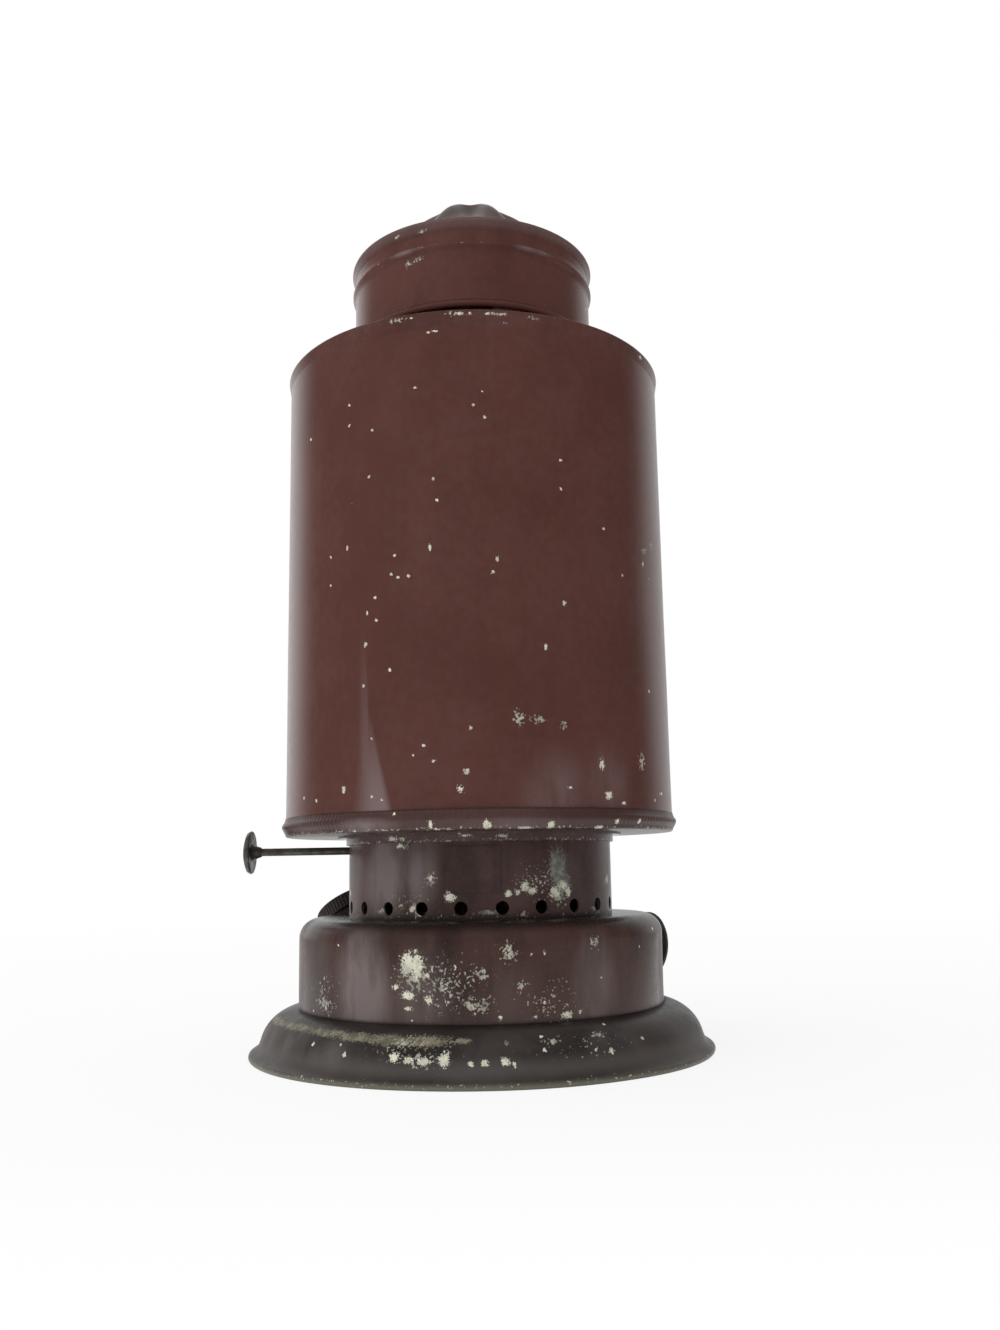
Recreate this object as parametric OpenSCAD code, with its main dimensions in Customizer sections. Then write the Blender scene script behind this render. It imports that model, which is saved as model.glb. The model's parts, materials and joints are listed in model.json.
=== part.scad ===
// Darkroom lantern: an oil lamp in a light-tight tin house with one ruby window.
// The axis is Z, the base stands on z = 0, the window looks along +Y and the wick knob is at -X.
// The house lifts off the oil font, which carries the burner inside a collar with air holes.

/* [Tinplate] */
// Thickness of the sheet that the lantern is made of
tin_t = 0.6; // [0.4:0.1:0.8]
// Gap between pieces that slide past each other
slide_gap = 0.3; // [0.2:0.05:0.5]

/* [Base] */
// Diameter over the rolled edge of the brim
brim_d = 133; // [130:1:140]
// Diameter of the rounded skirt where the brim leaves it
foot_d = 127; // [122:0.5:127.5]
// Height of the skirt's top edge on the font
skirt_h = 13.2; // [11:0.2:16]
// Height of the brim where it leaves the skirt
brim_h = 2.6; // [2.2:0.1:4]
// Diameter of the rolled edge
hem_d = 2; // [1.8:0.1:3]
// Depth of the flat that the rolled edge stands on
hem_flat = 0.25; // [0.15:0.05:0.4]

/* [Oil font] */
// Diameter of the font
font_d = 105.5; // [100:0.5:110]
// Height of the font's top above the table
font_h = 38; // [36:0.5:46]
// Radius of the font's shoulder
font_round = 5.5; // [4.5:0.25:7]
// Height of the font's floor above the table
font_floor_h = 5; // [3.5:0.25:5.5]
// Depth of the turned edge of the font's floor
floor_edge_h = 2; // [1.5:0.25:3]

/* [Filler] */
// Direction of the filler, turned from +X
filler_angle = 144; // [130:1:150]
// Slant of the filler from upright
filler_tilt = 32; // [26:1:40]
// Diameter of the filler neck
filler_d = 20.2; // [18:0.2:22]
// Height of the neck's rim above the font's shoulder
filler_rise = 3.5; // [3:0.25:5]
// Wall of the neck and the cap
filler_wall = 0.9; // [0.7:0.1:1.2]
// Thickness of the leather washer
washer_t = 0.8; // [0.5:0.1:1.2]
// Depth of the cap's skirt below its top plate
cap_skirt = 4; // [3:0.25:4.25]
// Grip notches round the cap
cap_notches = 28; // [16:2:36]
// Diameter of one grip notch
cap_notch_d = 1.2; // [0.8:0.1:1.4]

/* [Finger loop] */
// Direction of the loop, turned from +X
loop_angle = 45; // [35:1:60]
// Reach of the loop beyond the font
loop_reach = 29; // [24:0.5:32]
// Height of the loop
loop_h = 21; // [18:0.5:21]
// Height of the loop's middle above the table
loop_mid_h = 25.5; // [24.5:0.25:26.5]
// Width of the strap
loop_w = 12; // [9:0.5:15]
// Thickness of the strap
loop_t = 1; // [0.8:0.1:1.4]
// Length of the turned feet of the strap
loop_foot = 5; // [3:0.5:6]

/* [Gallery collar] */
// Diameter of the collar
collar_d = 77; // [74:0.5:80]
// Height of the collar above the font
collar_h = 23; // [22:0.5:28]
// Width of the collar's turned-in foot
collar_foot = 3; // [2:0.5:5]
// Number of air holes
air_holes = 22; // [16:1:26]
// Diameter of the air holes
air_hole_d = 3.6; // [2.8:0.1:4.2]
// Height of the air holes above the font
air_hole_h = 3; // [2.8:0.1:5]
// Angle of the first air hole from the middle of the back
air_hole_turn = -6.7; // [-8:0.1:8]

/* [Burner] */
// Bore of the thread ring in the font's top
ring_bore = 24; // [22:0.5:26]
// Wall of the thread ring
ring_wall = 1.4; // [1:0.1:2]
// Height of the thread ring above the font
ring_h = 4; // [3:0.25:5]
// Depth of the thread ring below the font's top
ring_depth = 3; // [2:0.25:4]
// Width of the thread ring's flange
ring_flange = 3; // [2:0.25:4]
// Diameter of the burner basket
basket_d = 40; // [36:0.5:44]
// Height of the basket's cone
basket_cone_h = 7.4; // [6:0.2:8]
// Height of the burner basket above the thread ring
basket_h = 20; // [19:0.5:24]
// Air holes round the basket's cone
basket_holes = 18; // [12:1:22]
// Diameter of the small air holes
screen_hole_d = 2.2; // [1.6:0.1:2.6]
// Thickness of the brass sheet
brass_t = 0.6; // [0.5:0.05:0.8]
// Height of the flame dome's straight side
dome_side_h = 2.4; // [1.5:0.1:4]
// Width of the wick
wick_w = 16; // [12:0.5:18]
// Thickness of the wick
wick_t = 2; // [1.5:0.1:2.5]
// Height of the wick's top above the flame dome
wick_show = 2; // [1:0.25:4]
// Height of the wick's lower end above the font's floor
wick_hang = 8.4; // [8.4:0.2:12]
// Height of the flame dome's top above the wick tube
tube_drop = 4; // [3.5:0.25:6]

/* [Wick raiser] */
// Diameter of the spindle
spindle_d = 2.2; // [1.8:0.1:2.4]
// Running clearance of the spindle on the radius
spindle_play = 0.05; // [0.02:0.01:0.08]
// Reach of the knob's outer face from the lamp's axis
knob_reach = 69; // [66.5:0.25:69.5]
// Diameter of the knob
knob_d = 12.4; // [10:0.2:14]
// Thickness of the knob's domed disc in its middle
knob_t = 2.6; // [2.2:0.1:3.4]
// Depth of the cone on the knob's back
knob_back = 0.9; // [0.6:0.1:1.6]
// Diameter of the knob's hub
hub_d = 3.8; // [3.2:0.1:5]
// Length of the knob's hub
hub_h = 1.8; // [1:0.1:3]
// Radius of the knob's domed face
knob_dome = 14; // [12:0.5:20]
// Radius over the teeth of the wick wheels
wheel_r = 4; // [3.4:0.1:4.4]
// Depth of the teeth
tooth_h = 1.1; // [0.8:0.1:1.3]
// Teeth on one wick wheel
teeth = 12; // [8:1:16]
// Thickness of one wick wheel
wheel_t = 1.4; // [1:0.1:1.8]
// Distance between the two wick wheels
wheel_pitch = 8; // [6.5:0.5:8.5]
// Thickness of the bearing ears
ear_t = 1; // [0.8:0.1:1.2]

/* [House] */
// Diameter of the house
house_d = 114; // [110:1:118]
// Height of the house from its floor to its top edge
house_h = 139.2; // [132:0.2:150]
// Height of the seam lip at the bottom
low_lip_h = 5.3; // [4:0.1:7]
// Radius of the bulge on the bottom lip
lip_bulge_r = 1.2; // [0.9:0.1:1.6]
// Height of the seam lip at the top
top_lip_h = 4.8; // [4:0.1:7]
// Rise of the shoulder plate towards the flue
shoulder_rise = 2.5; // [1.5:0.25:4]
// Width of the house floor inside the collar
floor_inset = 2; // [1.5:0.25:4]
// Depth of the socket ring below the house floor
socket_h = 2.5; // [2:0.1:3]
// Width of the socket ring's flange
socket_flange = 3; // [2:0.25:5]

/* [Window] */
// Clear width of the window
window_w = 64; // [58:1:66]
// Clear height of the window
window_h = 82; // [74:1:88]
// Height of the window's lower edge above the house floor
window_sill = 27; // [22:0.5:30]
// Thickness of the ruby glass
pane_t = 2; // [1.5:0.1:2.5]
// Overlap of the glass on the frame
pane_lap = 4; // [3:0.25:5]
// Height of the glass above the frame's top
pane_grip = 4; // [2:0.5:6]
// Thickness of the frame's sheet
frame_t = 0.8; // [0.6:0.1:1]

/* [Ventilator] */
// Diameter of the flue through the shoulder
flue_d = 62; // [56:0.5:64]
// Height of the flue above the house's top edge
flue_h = 24; // [18:0.5:28]
// Depth of the flue below the shoulder
flue_depth = 2; // [1:0.25:4]
// Diameter of the drum
drum_d = 74.5; // [72:0.5:78]
// Height of the drum's lower edge above the house's top edge
drum_gap = 10.8; // [8:0.2:13]
// Height of the drum
drum_h = 27; // [24:0.5:34]
// Diameter of the rolled lower edge of the drum
curl_d = 1.9; // [1.6:0.1:2.6]
// Height of the swaged bead above the drum's lower edge
bead_h = 19.6; // [15:0.2:20]
// Radius of the swaged bead
bead_r = 1.5; // [1.2:0.1:1.7]
// Stand of the swaged bead beyond the drum
bead_out = 1.1; // [0.8:0.1:1.15]
// Number of stays that carry the drum
stays = 3; // [3:1:5]
// Angle of the first stay from the middle of the back
stay_turn = 17; // [10:1:25]
// Width of a stay as an angle round the axis
stay_angle = 13; // [8:1:18]
// Thickness of a stay
stay_t = 0.8; // [0.6:0.1:1]
// Length of a stay's foot on the shoulder
stay_foot = 5; // [3:0.5:8]
// Height of the stay inside the drum
stay_lap = 9; // [5:0.5:12]
// Depth of the lid's rim round the drum
lid_rim_h = 3.4; // [2.5:0.1:4.5]
// Radius of the roll on the lid's rim
lid_roll_r = 1.05; // [0.8:0.05:1.4]
// Slope of the lid
lid_slope = 27; // [20:1:30]
// Radius of the crown at its foot
crown_r = 27; // [24:0.5:29]
// Width of the crown's smooth foot, which lies on the lid
crown_foot = 3; // [2:0.25:4]
// Radius of the crown's flat top
crown_top_r = 11.3; // [9:0.1:13]
// Slope of the crown's fluted sides
crown_slope = 44; // [38:1:48]
// Number of flutes round the crown
flutes = 8; // [6:1:12]
// Depth of the flutes
flute_h = 2; // [1:0.1:2.6]

/* [Hidden] */
$fn = 96;
big = 400;

japan = "#59302d";
japan_dull = "#4d3a37";
brass = "#a98545";
iron = "#4b4a48";
leather = "#5d4330";

font_r = font_d / 2;
font_foot_z = font_floor_h - floor_edge_h;
skirt_r = (foot_d - font_d) / 2;
skirt_mid_z = skirt_h - skirt_r;
skirt_rise = max(0, brim_h - skirt_mid_z);
brim_start_r = font_r + sqrt(pow(skirt_r - tin_t / 2, 2) - pow(skirt_rise, 2));
hem_r = brim_d / 2 - hem_d / 2;
hem_z = hem_d / 2 - hem_flat;

// Along the filler's axis, from the centre of the shoulder's round
neck_rim = font_round + filler_rise;
cap_plate = neck_rim + washer_t;
cap_top = cap_plate + filler_wall;
cap_bore_r = filler_d / 2 + slide_gap;
cap_r = cap_bore_r + filler_wall;

collar_r = collar_d / 2;
collar_top_z = font_h + collar_h;
house_z = collar_top_z;

ring_r = ring_bore / 2 + ring_wall;
ring_top_z = font_h + ring_h;
basket_r = basket_d / 2;
basket_foot_r = ring_bore / 2 + ring_wall;
cone_top_z = ring_top_z + brass_t + basket_cone_h;
basket_top_z = ring_top_z + basket_h;
dome_r = basket_r - brass_t;
dome_mid_z = basket_top_z + brass_t + dome_side_h;
dome_top_z = dome_mid_z + dome_r;
tube_in = [wick_w + 2 * slide_gap, wick_t + 2 * slide_gap];
tube_out = tube_in + [2 * brass_t, 2 * brass_t];
tube_top_z = dome_top_z - tube_drop;
wick_low_z = font_floor_h + tin_t + wick_hang;
wick_top_z = dome_top_z + wick_show;

spindle_r = spindle_d / 2;
spindle_drop = 0.4;
spindle_z = house_z - socket_h - spindle_drop - spindle_r;
wheel_clear = 0.2;
spindle_y = -wick_t / 2 - wheel_clear - wheel_r;
ear_x = wheel_pitch / 2 + wheel_t / 2 + ear_t / 2 + 2 * slide_gap;
ear_r = spindle_r + 1.2;
spindle_end = ear_x + ear_t + slide_gap;

house_r = house_d / 2;
house_top_z = house_z + house_h;
lip_r = house_r + tin_t;
socket_bore_r = collar_r + slide_gap;
floor_hole_r = collar_r - tin_t - floor_inset;

sill_z = house_z + window_sill;
head_z = sill_z + window_h;
pane_w = window_w + 2 * pane_lap;
pane_low_z = sill_z - pane_lap;
frame_w = pane_w + 2 * slide_gap + 2 * frame_t;
frame_low_z = pane_low_z - frame_t;
frame_top_z = head_z + pane_lap;
pane_top_z = frame_top_z + pane_grip;
frame_seat_y = lip_r + 2 * slide_gap;
pane_y = frame_seat_y + slide_gap / 2;
lip_y = pane_y + pane_t + slide_gap / 2;
frame_front_y = lip_y + frame_t;

flue_r = flue_d / 2;
drum_r = drum_d / 2;
drum_low_z = house_top_z + drum_gap;
drum_top_z = drum_low_z + drum_h;
shoulder_slope = shoulder_rise / (house_r - flue_r);
lid_edge_r = drum_r + tin_t;
lid_hole_r = crown_r - crown_foot;
crown_gap = 0.1;
crown_sheet = tin_t / cos(crown_slope);
crown_sides = 8 * flutes;
crown_rings = 9;
flute_fade = 165;

// Height of the shoulder's upper face at radius r
function shoulder_z(r) = house_top_z + (house_r - r) * shoulder_slope;

// Height of the lid's upper face at radius r
function lid_z(r) = drum_top_z + tin_t + (lid_edge_r - r) * tan(lid_slope);

// Height of the crown's outer face at radius r, without its flutes
function crown_z(r) =
    lid_z(max(r, lid_hole_r)) + crown_gap + crown_sheet + max(0, lid_hole_r - r) * tan(crown_slope);

// Flat strip of a wall's section, from radius r outwards
module strip(r, w, z0, z1) {
    translate([r, z0]) square([w, z1 - z0]);
}

// Section of a rolled sheet edge or a rounded corner, a ring of the sheet's thickness
module roll(r, t) {
    difference() {
        circle(r);
        circle(r - t);
    }
}

// Ring of copies about the axis
module around(count, turn = 0) {
    for (i = [0 : count - 1])
        rotate([0, 0, turn + i * 360 / count]) children();
}

// Placing on the filler's axis
module on_filler() {
    rotate([0, 0, filler_angle])
        translate([font_r - font_round, 0, font_h - font_round])
            rotate([0, filler_tilt, 0]) children();
}

// Placing on the spindle's axis, with local Z along +X
module on_spindle(x = 0) {
    translate([x, spindle_y, spindle_z]) rotate([0, 90, 0]) children();
}

// The font's outer form, solid
module font_form() {
    rotate_extrude() {
        square([font_r, font_h - font_round]);
        square([font_r - font_round, font_h]);
        translate([font_r - font_round, font_h - font_round]) intersection() {
            circle(font_round);
            square(2 * font_round);
        }
    }
}

// Rounded skirt and narrow brim with a rolled edge
module base_skirt() {
    color(japan_dull) {
        rotate_extrude() intersection() {
            translate([font_r, skirt_mid_z]) {
                intersection() {
                    roll(skirt_r, tin_t);
                    square(2 * skirt_r);
                }
                translate([skirt_r - tin_t, -skirt_mid_z]) square([tin_t, max(skirt_mid_z, tin_t)]);
            }
            translate([0, brim_h - tin_t]) square(big);
        }
        rotate_extrude() polygon([
            [brim_start_r, brim_h],
            [hem_r, hem_z + tin_t / 2],
            [hem_r, hem_z - tin_t / 2],
            [brim_start_r, brim_h - tin_t]
        ]);
        rotate_extrude() intersection() {
            translate([hem_r, hem_z]) circle(hem_d / 2);
            square(big);
        }
    }
}

// Oil font: wall, rounded shoulder and top plate
module font_drum() {
    color(japan_dull) difference() {
        rotate_extrude() {
            strip(font_r - tin_t, tin_t, font_foot_z, font_h - font_round);
            translate([font_r - font_round, font_h - font_round]) intersection() {
                roll(font_round, tin_t);
                square(2 * font_round);
            }
            strip(ring_r, font_r - font_round - ring_r, font_h - tin_t, font_h);
        }
        on_filler() cylinder(r = filler_d / 2 - filler_wall, h = neck_rim);
    }
}

// Floor of the font, a shallow dish let into the wall
module font_bottom() {
    color(japan_dull) rotate_extrude() {
        strip(0, font_r - tin_t, font_floor_h, font_floor_h + tin_t);
        strip(font_r - 2 * tin_t, tin_t, font_foot_z, font_floor_h);
    }
}

// Slanted filler neck, saddled on the font's shoulder
module filler_neck() {
    color(japan_dull) difference() {
        on_filler() translate([0, 0, -font_r / 2]) difference() {
            cylinder(r = filler_d / 2, h = font_r / 2 + neck_rim);
            translate([0, 0, -1])
                cylinder(r = filler_d / 2 - filler_wall, h = font_r / 2 + neck_rim + 2);
        }
        font_form();
    }
}

// Leather washer between the neck's rim and the cap
module filler_washer() {
    color(leather) on_filler() translate([0, 0, neck_rim]) difference() {
        cylinder(r = filler_d / 2, h = washer_t);
        translate([0, 0, -1]) cylinder(r = filler_d / 2 - 3 * filler_wall, h = washer_t + 2);
    }
}

// Screw cap with a notched grip
module filler_cap() {
    color(japan) on_filler() difference() {
        translate([0, 0, cap_plate - cap_skirt]) cylinder(r = cap_r, h = cap_top - cap_plate + cap_skirt);
        translate([0, 0, cap_plate - cap_skirt - 1]) cylinder(r = cap_bore_r, h = cap_skirt + 1);
        around(cap_notches) translate([cap_r + cap_notch_d / 6, 0, 0]) cylinder(d = cap_notch_d, h = big);
    }
}

// Strap bent to a finger loop, with its feet on the font
module finger_loop() {
    loop_r = loop_h / 2;
    bend_x = font_r + loop_reach - loop_r;
    foot_angle = 2 * asin(loop_w / 2 / font_r);
    color(japan_dull) rotate([0, 0, loop_angle]) {
        difference() {
            translate([0, 0, loop_mid_h]) rotate([90, 0, 0]) linear_extrude(loop_w, center = true) {
                translate([bend_x, 0]) intersection() {
                    roll(loop_r, loop_t);
                    translate([0, -loop_h]) square(2 * loop_h);
                }
                for (side = [-1, 1])
                    translate([0, side * (loop_r - loop_t / 2) - loop_t / 2]) square([bend_x, loop_t]);
            }
            font_form();
        }
        rotate([0, 0, -foot_angle / 2]) rotate_extrude(angle = foot_angle) {
            strip(font_r, loop_t, loop_mid_h - loop_r, loop_mid_h - loop_r + loop_foot);
            strip(font_r, loop_t, loop_mid_h + loop_r - loop_foot, loop_mid_h + loop_r);
        }
    }
}

// Collar round the burner, with air holes and an open notch for the spindle
module gallery_collar() {
    notch_w = spindle_d + 4 * slide_gap;
    color(japan_dull) difference() {
        rotate_extrude() {
            strip(collar_r - tin_t, tin_t, font_h, collar_top_z);
            strip(collar_r - collar_foot, collar_foot, font_h, font_h + tin_t);
        }
        around(air_holes, air_hole_turn - 90) translate([collar_r - collar_foot, 0, font_h + air_hole_h])
            rotate([0, 90, 0]) cylinder(d = air_hole_d, h = 2 * collar_foot);
        translate([-big, spindle_y - notch_w / 2, spindle_z - notch_w / 2]) cube([big, notch_w, big]);
    }
}

// Brass ring soldered into the font's top, which the burner screws into
module burner_ring() {
    color(brass) rotate_extrude() {
        strip(ring_bore / 2, ring_wall, font_h - ring_depth, ring_top_z);
        strip(ring_r, ring_flange, font_h, font_h + brass_t);
    }
}

// Slot that the wick tube fills in a plate
module tube_slot() {
    cube([tube_out.x, tube_out.y, big], center = true);
}

// Burner body: screw plug, cone with air holes and basket wall
module burner_basket() {
    hole_z = ring_top_z + brass_t + basket_cone_h / 2;
    color(brass) difference() {
        rotate_extrude() {
            strip(ring_bore / 2 - brass_t, brass_t, font_h - ring_depth, ring_top_z);
            strip(0, basket_foot_r, ring_top_z, ring_top_z + brass_t);
            polygon([
                [basket_foot_r - brass_t, ring_top_z + brass_t],
                [basket_foot_r, ring_top_z],
                [basket_r, cone_top_z - brass_t],
                [basket_r, cone_top_z],
                [basket_r - brass_t, cone_top_z]
            ]);
            strip(basket_r - brass_t, brass_t, cone_top_z, basket_top_z);
        }
        tube_slot();
        around(basket_holes, 180 / basket_holes) translate([0, 0, hole_z])
            rotate([0, 90 + 45, 0]) translate([0, 0, basket_foot_r / 2])
                cylinder(d = screen_hole_d, h = basket_r);
        on_spindle(-basket_r - 1) cylinder(d = spindle_d + 4 * slide_gap, h = basket_r);
    }
}

// Perforated disc that spreads the air under the flame
module air_screen() {
    color(brass) translate([0, 0, cone_top_z]) difference() {
        cylinder(r = basket_r - brass_t, h = brass_t);
        tube_slot();
        around(20, 9) translate([basket_r - 4, 0, -1]) cylinder(d = screen_hole_d, h = 3);
        around(16) translate([basket_r - 8, 0, -1]) cylinder(d = screen_hole_d, h = 3);
    }
}

// Flat tube for the wick, cut open where the wick wheels reach in
module wick_tube() {
    tube_low_z = font_h - ring_depth;
    reach = -spindle_y - tube_in.y / 2;
    slot_h = 2 * sqrt(pow(wheel_r + slide_gap, 2) - pow(reach - brass_t, 2)) + 2 * slide_gap;
    color(brass) difference() {
        translate([-tube_out.x / 2, -tube_out.y / 2, tube_low_z])
            cube([tube_out.x, tube_out.y, tube_top_z - tube_low_z]);
        cube([tube_in.x, tube_in.y, big], center = true);
        for (side = [-1, 1])
            translate([side * wheel_pitch / 2, -tube_out.y / 2, spindle_z])
                cube([wheel_t + 2 * slide_gap, tube_out.y - tube_in.y, slot_h], center = true);
    }
}

// Bearing bracket on the wick tube with two ears for the spindle
module spindle_bracket() {
    seat_y = -tube_out.y / 2;
    foot_z = cone_top_z + brass_t;
    slot_low_z = spindle_z - wheel_r;
    ear_x0 = ear_x - ear_t / 2;
    color(brass) difference() {
        union() {
            translate([-ear_x0, seat_y - brass_t, foot_z])
                cube([2 * ear_x0, brass_t, slot_low_z - slide_gap - foot_z]);
            for (side = [-1, 1]) {
                translate([side * ear_x - ear_t / 2, spindle_y, foot_z])
                    cube([ear_t, seat_y - spindle_y, spindle_z + ear_r - foot_z]);
                on_spindle(side * ear_x - ear_t / 2) cylinder(r = ear_r, h = ear_t);
            }
        }
        on_spindle(-big / 2) cylinder(r = spindle_r + spindle_play, h = big);
    }
}

// Domed flame spreader with a slot over the wick
module flame_dome() {
    slot = [tube_in.x + 3 * slide_gap, tube_in.y + 6 * slide_gap];
    color(brass) difference() {
        rotate_extrude() {
            strip(dome_r - brass_t, 2 * brass_t, basket_top_z, basket_top_z + brass_t);
            strip(dome_r - brass_t, brass_t, basket_top_z, dome_mid_z);
            translate([0, dome_mid_z]) intersection() {
                roll(dome_r, brass_t);
                square(2 * dome_r);
            }
        }
        translate([-slot.x / 2, -slot.y / 2, dome_mid_z]) cube([slot.x, slot.y, big]);
    }
}

// Flat cotton wick
module wick() {
    color("#d8cfb8") translate([-wick_w / 2, -wick_t / 2, wick_low_z])
        cube([wick_w, wick_t, wick_top_z - wick_low_z]);
}

// Spindle of the wick raiser
module wick_spindle() {
    knob_seat = knob_reach - knob_t / 4;
    color(iron) on_spindle(-knob_seat) cylinder(r = spindle_r, h = knob_seat + spindle_end);
}

// Outline of a toothed wick wheel
module wheel_outline() {
    step = 360 / teeth;
    root_r = wheel_r - tooth_h;
    polygon([
        for (i = [0 : teeth - 1], p = [[root_r, -0.3], [wheel_r, 0], [root_r, 0.3]])
            p[0] * [cos((i + p[1]) * step), sin((i + p[1]) * step)]
    ]);
}

// Two toothed wheels that move the wick
module wick_wheels() {
    color(iron) for (side = [-1, 1])
        on_spindle(side * wheel_pitch / 2 - wheel_t / 2) linear_extrude(wheel_t) difference() {
            wheel_outline();
            circle(spindle_r);
        }
}

// Domed thumb knob with a coned back and a tapered hub
module wick_knob() {
    hub_end = -knob_back - hub_h;
    hub_tip_r = (hub_d + spindle_d) / 4;
    color(iron) on_spindle(-knob_reach) mirror([0, 0, 1]) translate([0, 0, -knob_t]) difference() {
        rotate_extrude() intersection() {
            polygon([
                [0, hub_end], [hub_tip_r, hub_end], [hub_d / 2, -knob_back],
                [knob_d / 2, 0], [knob_d / 2, knob_t], [0, knob_t],
            ]);
            translate([0, knob_t - knob_dome]) circle(knob_dome);
        }
        translate([0, 0, hub_end - 1]) cylinder(r = spindle_r, h = 1 - hub_end + knob_t * 3 / 4);
    }
}

// Ring under the house floor that fits over the collar
module socket_ring() {
    color(japan) rotate_extrude() {
        strip(socket_bore_r, tin_t, house_z - socket_h, house_z);
        strip(socket_bore_r, socket_flange, house_z - tin_t, house_z);
    }
}

// House floor with its edge turned up over the wall
module house_floor() {
    color(japan) rotate_extrude() {
        strip(floor_hole_r, lip_r - floor_hole_r, house_z, house_z + tin_t);
        strip(house_r, tin_t, house_z, house_z + low_lip_h);
        translate([house_r, house_z + low_lip_h / 2]) intersection() {
            circle(lip_bulge_r);
            translate([0, -2 * lip_bulge_r]) square(4 * lip_bulge_r);
        }
    }
}

// Wall of the house, cut open for the window box
module house_shell() {
    color(japan) difference() {
        rotate_extrude()
            strip(house_r - tin_t, tin_t, house_z + tin_t, house_top_z - tin_t);
        translate([-frame_w / 2, 0, frame_low_z]) cube([frame_w, big, frame_top_z - frame_low_z]);
    }
}

// Shoulder plate with its edge turned down over the wall
module house_shoulder() {
    color(japan) rotate_extrude() {
        strip(house_r, tin_t, house_top_z - top_lip_h, house_top_z - tin_t);
        polygon([
            [lip_r, house_top_z - tin_t],
            [house_r, house_top_z],
            [flue_r, shoulder_z(flue_r)],
            [flue_r, shoulder_z(flue_r) - tin_t],
            [house_r - tin_t, house_top_z - tin_t]
        ]);
    }
}

// Window box with runners that the glass slides in
module window_frame() {
    box_h = frame_top_z - frame_low_z;
    lap = pane_lap - 2 * slide_gap;
    color(japan) difference() {
        union() {
            translate([-frame_w / 2, 0, frame_low_z]) cube([frame_w, frame_seat_y, box_h]);
            for (side = [0, 1]) mirror([side, 0, 0]) {
                translate([frame_w / 2 - frame_t, 0, frame_low_z]) cube([frame_t, frame_front_y, box_h]);
                translate([frame_w / 2 - lap, lip_y, frame_low_z]) cube([lap, frame_t, box_h]);
            }
            translate([-frame_w / 2, 0, frame_low_z]) cube([frame_w, frame_front_y, frame_t]);
            translate([-frame_w / 2, lip_y, frame_low_z]) cube([frame_w, frame_t, lap]);
        }
        translate([-frame_w / 2 + frame_t, 0, frame_low_z + frame_t])
            cube([frame_w - 2 * frame_t, frame_seat_y - frame_t, box_h - 2 * frame_t]);
        translate([-window_w / 2, 0, sill_z]) cube([window_w, frame_seat_y + frame_t, window_h]);
        cylinder(r = house_r - tin_t, h = big);
    }
}

// Pane of ruby glass
module ruby_glass() {
    color("#7c0d12") translate([-pane_w / 2, pane_y, pane_low_z])
        cube([pane_w, pane_t, pane_top_z - pane_low_z]);
}

// Flue through the shoulder
module flue_neck() {
    color(japan) rotate_extrude()
        strip(flue_r - tin_t, tin_t, shoulder_z(flue_r) - flue_depth, house_top_z + flue_h);
}

// Stays from the shoulder to the inside of the drum
module drum_stays() {
    inner_r = drum_r - tin_t - stay_t;
    color(japan) around(stays, stay_turn - 90 - stay_angle / 2) rotate_extrude(angle = stay_angle) {
        strip(inner_r, stay_t, shoulder_z(inner_r), drum_low_z + stay_lap);
        polygon([
            [inner_r, shoulder_z(inner_r)],
            [inner_r + stay_foot, shoulder_z(inner_r + stay_foot)],
            [inner_r + stay_foot, shoulder_z(inner_r + stay_foot) + stay_t],
            [inner_r, shoulder_z(inner_r) + stay_t]
        ]);
    }
}

// Drum of the ventilator, with a rolled lower edge and a swaged bead
module vent_drum() {
    bead_z = drum_low_z + bead_h;
    bead_x = drum_r + bead_out - bead_r;
    color(japan) rotate_extrude() {
        difference() {
            strip(drum_r - tin_t, tin_t, drum_low_z + curl_d / 2, drum_top_z);
            translate([bead_x, bead_z]) circle(bead_r - tin_t);
        }
        translate([bead_x, bead_z]) intersection() {
            roll(bead_r, tin_t);
            translate([drum_r - tin_t - bead_x, -2 * bead_r]) square(4 * bead_r);
        }
        translate([drum_r - tin_t + curl_d / 2, drum_low_z + curl_d / 2]) circle(curl_d / 2);
    }
}

// Cone-shaped lid with its rim rolled over the drum
module vent_lid() {
    color(japan) rotate_extrude() {
        strip(drum_r, tin_t, drum_top_z - lid_rim_h, drum_top_z);
        translate([drum_r, drum_top_z]) intersection() {
            circle(lid_roll_r);
            translate([0, -2 * lid_roll_r]) square([2 * lid_roll_r, 2 * lid_roll_r + tin_t]);
        }
        polygon([
            [lid_edge_r, drum_top_z],
            [lid_edge_r, lid_z(lid_edge_r)],
            [lid_hole_r, lid_z(lid_hole_r)],
            [lid_hole_r, lid_z(lid_hole_r) - tin_t / cos(lid_slope)],
            [drum_r - tin_t, drum_top_z]
        ]);
    }
}

// Point on the crown: ring i from the foot inwards, side j round it, drop below the outer face.
// The flutes start at the smooth foot, are deepest half way up, and face the back with a hollow.
function crown_point(i, j, drop) =
    let (
        fluted = max(0, i - 1) / (crown_rings - 2),
        r = i == 0 ? crown_r : lid_hole_r + (crown_top_r - lid_hole_r) * fluted,
        a = 360 * j / crown_sides,
        wave = -flute_h / 2 * sin(flute_fade * fluted) * cos(flutes * a)
    )
    [(r + wave) * cos(a), (r + wave) * sin(a), crown_z(r) + wave - drop];

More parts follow.
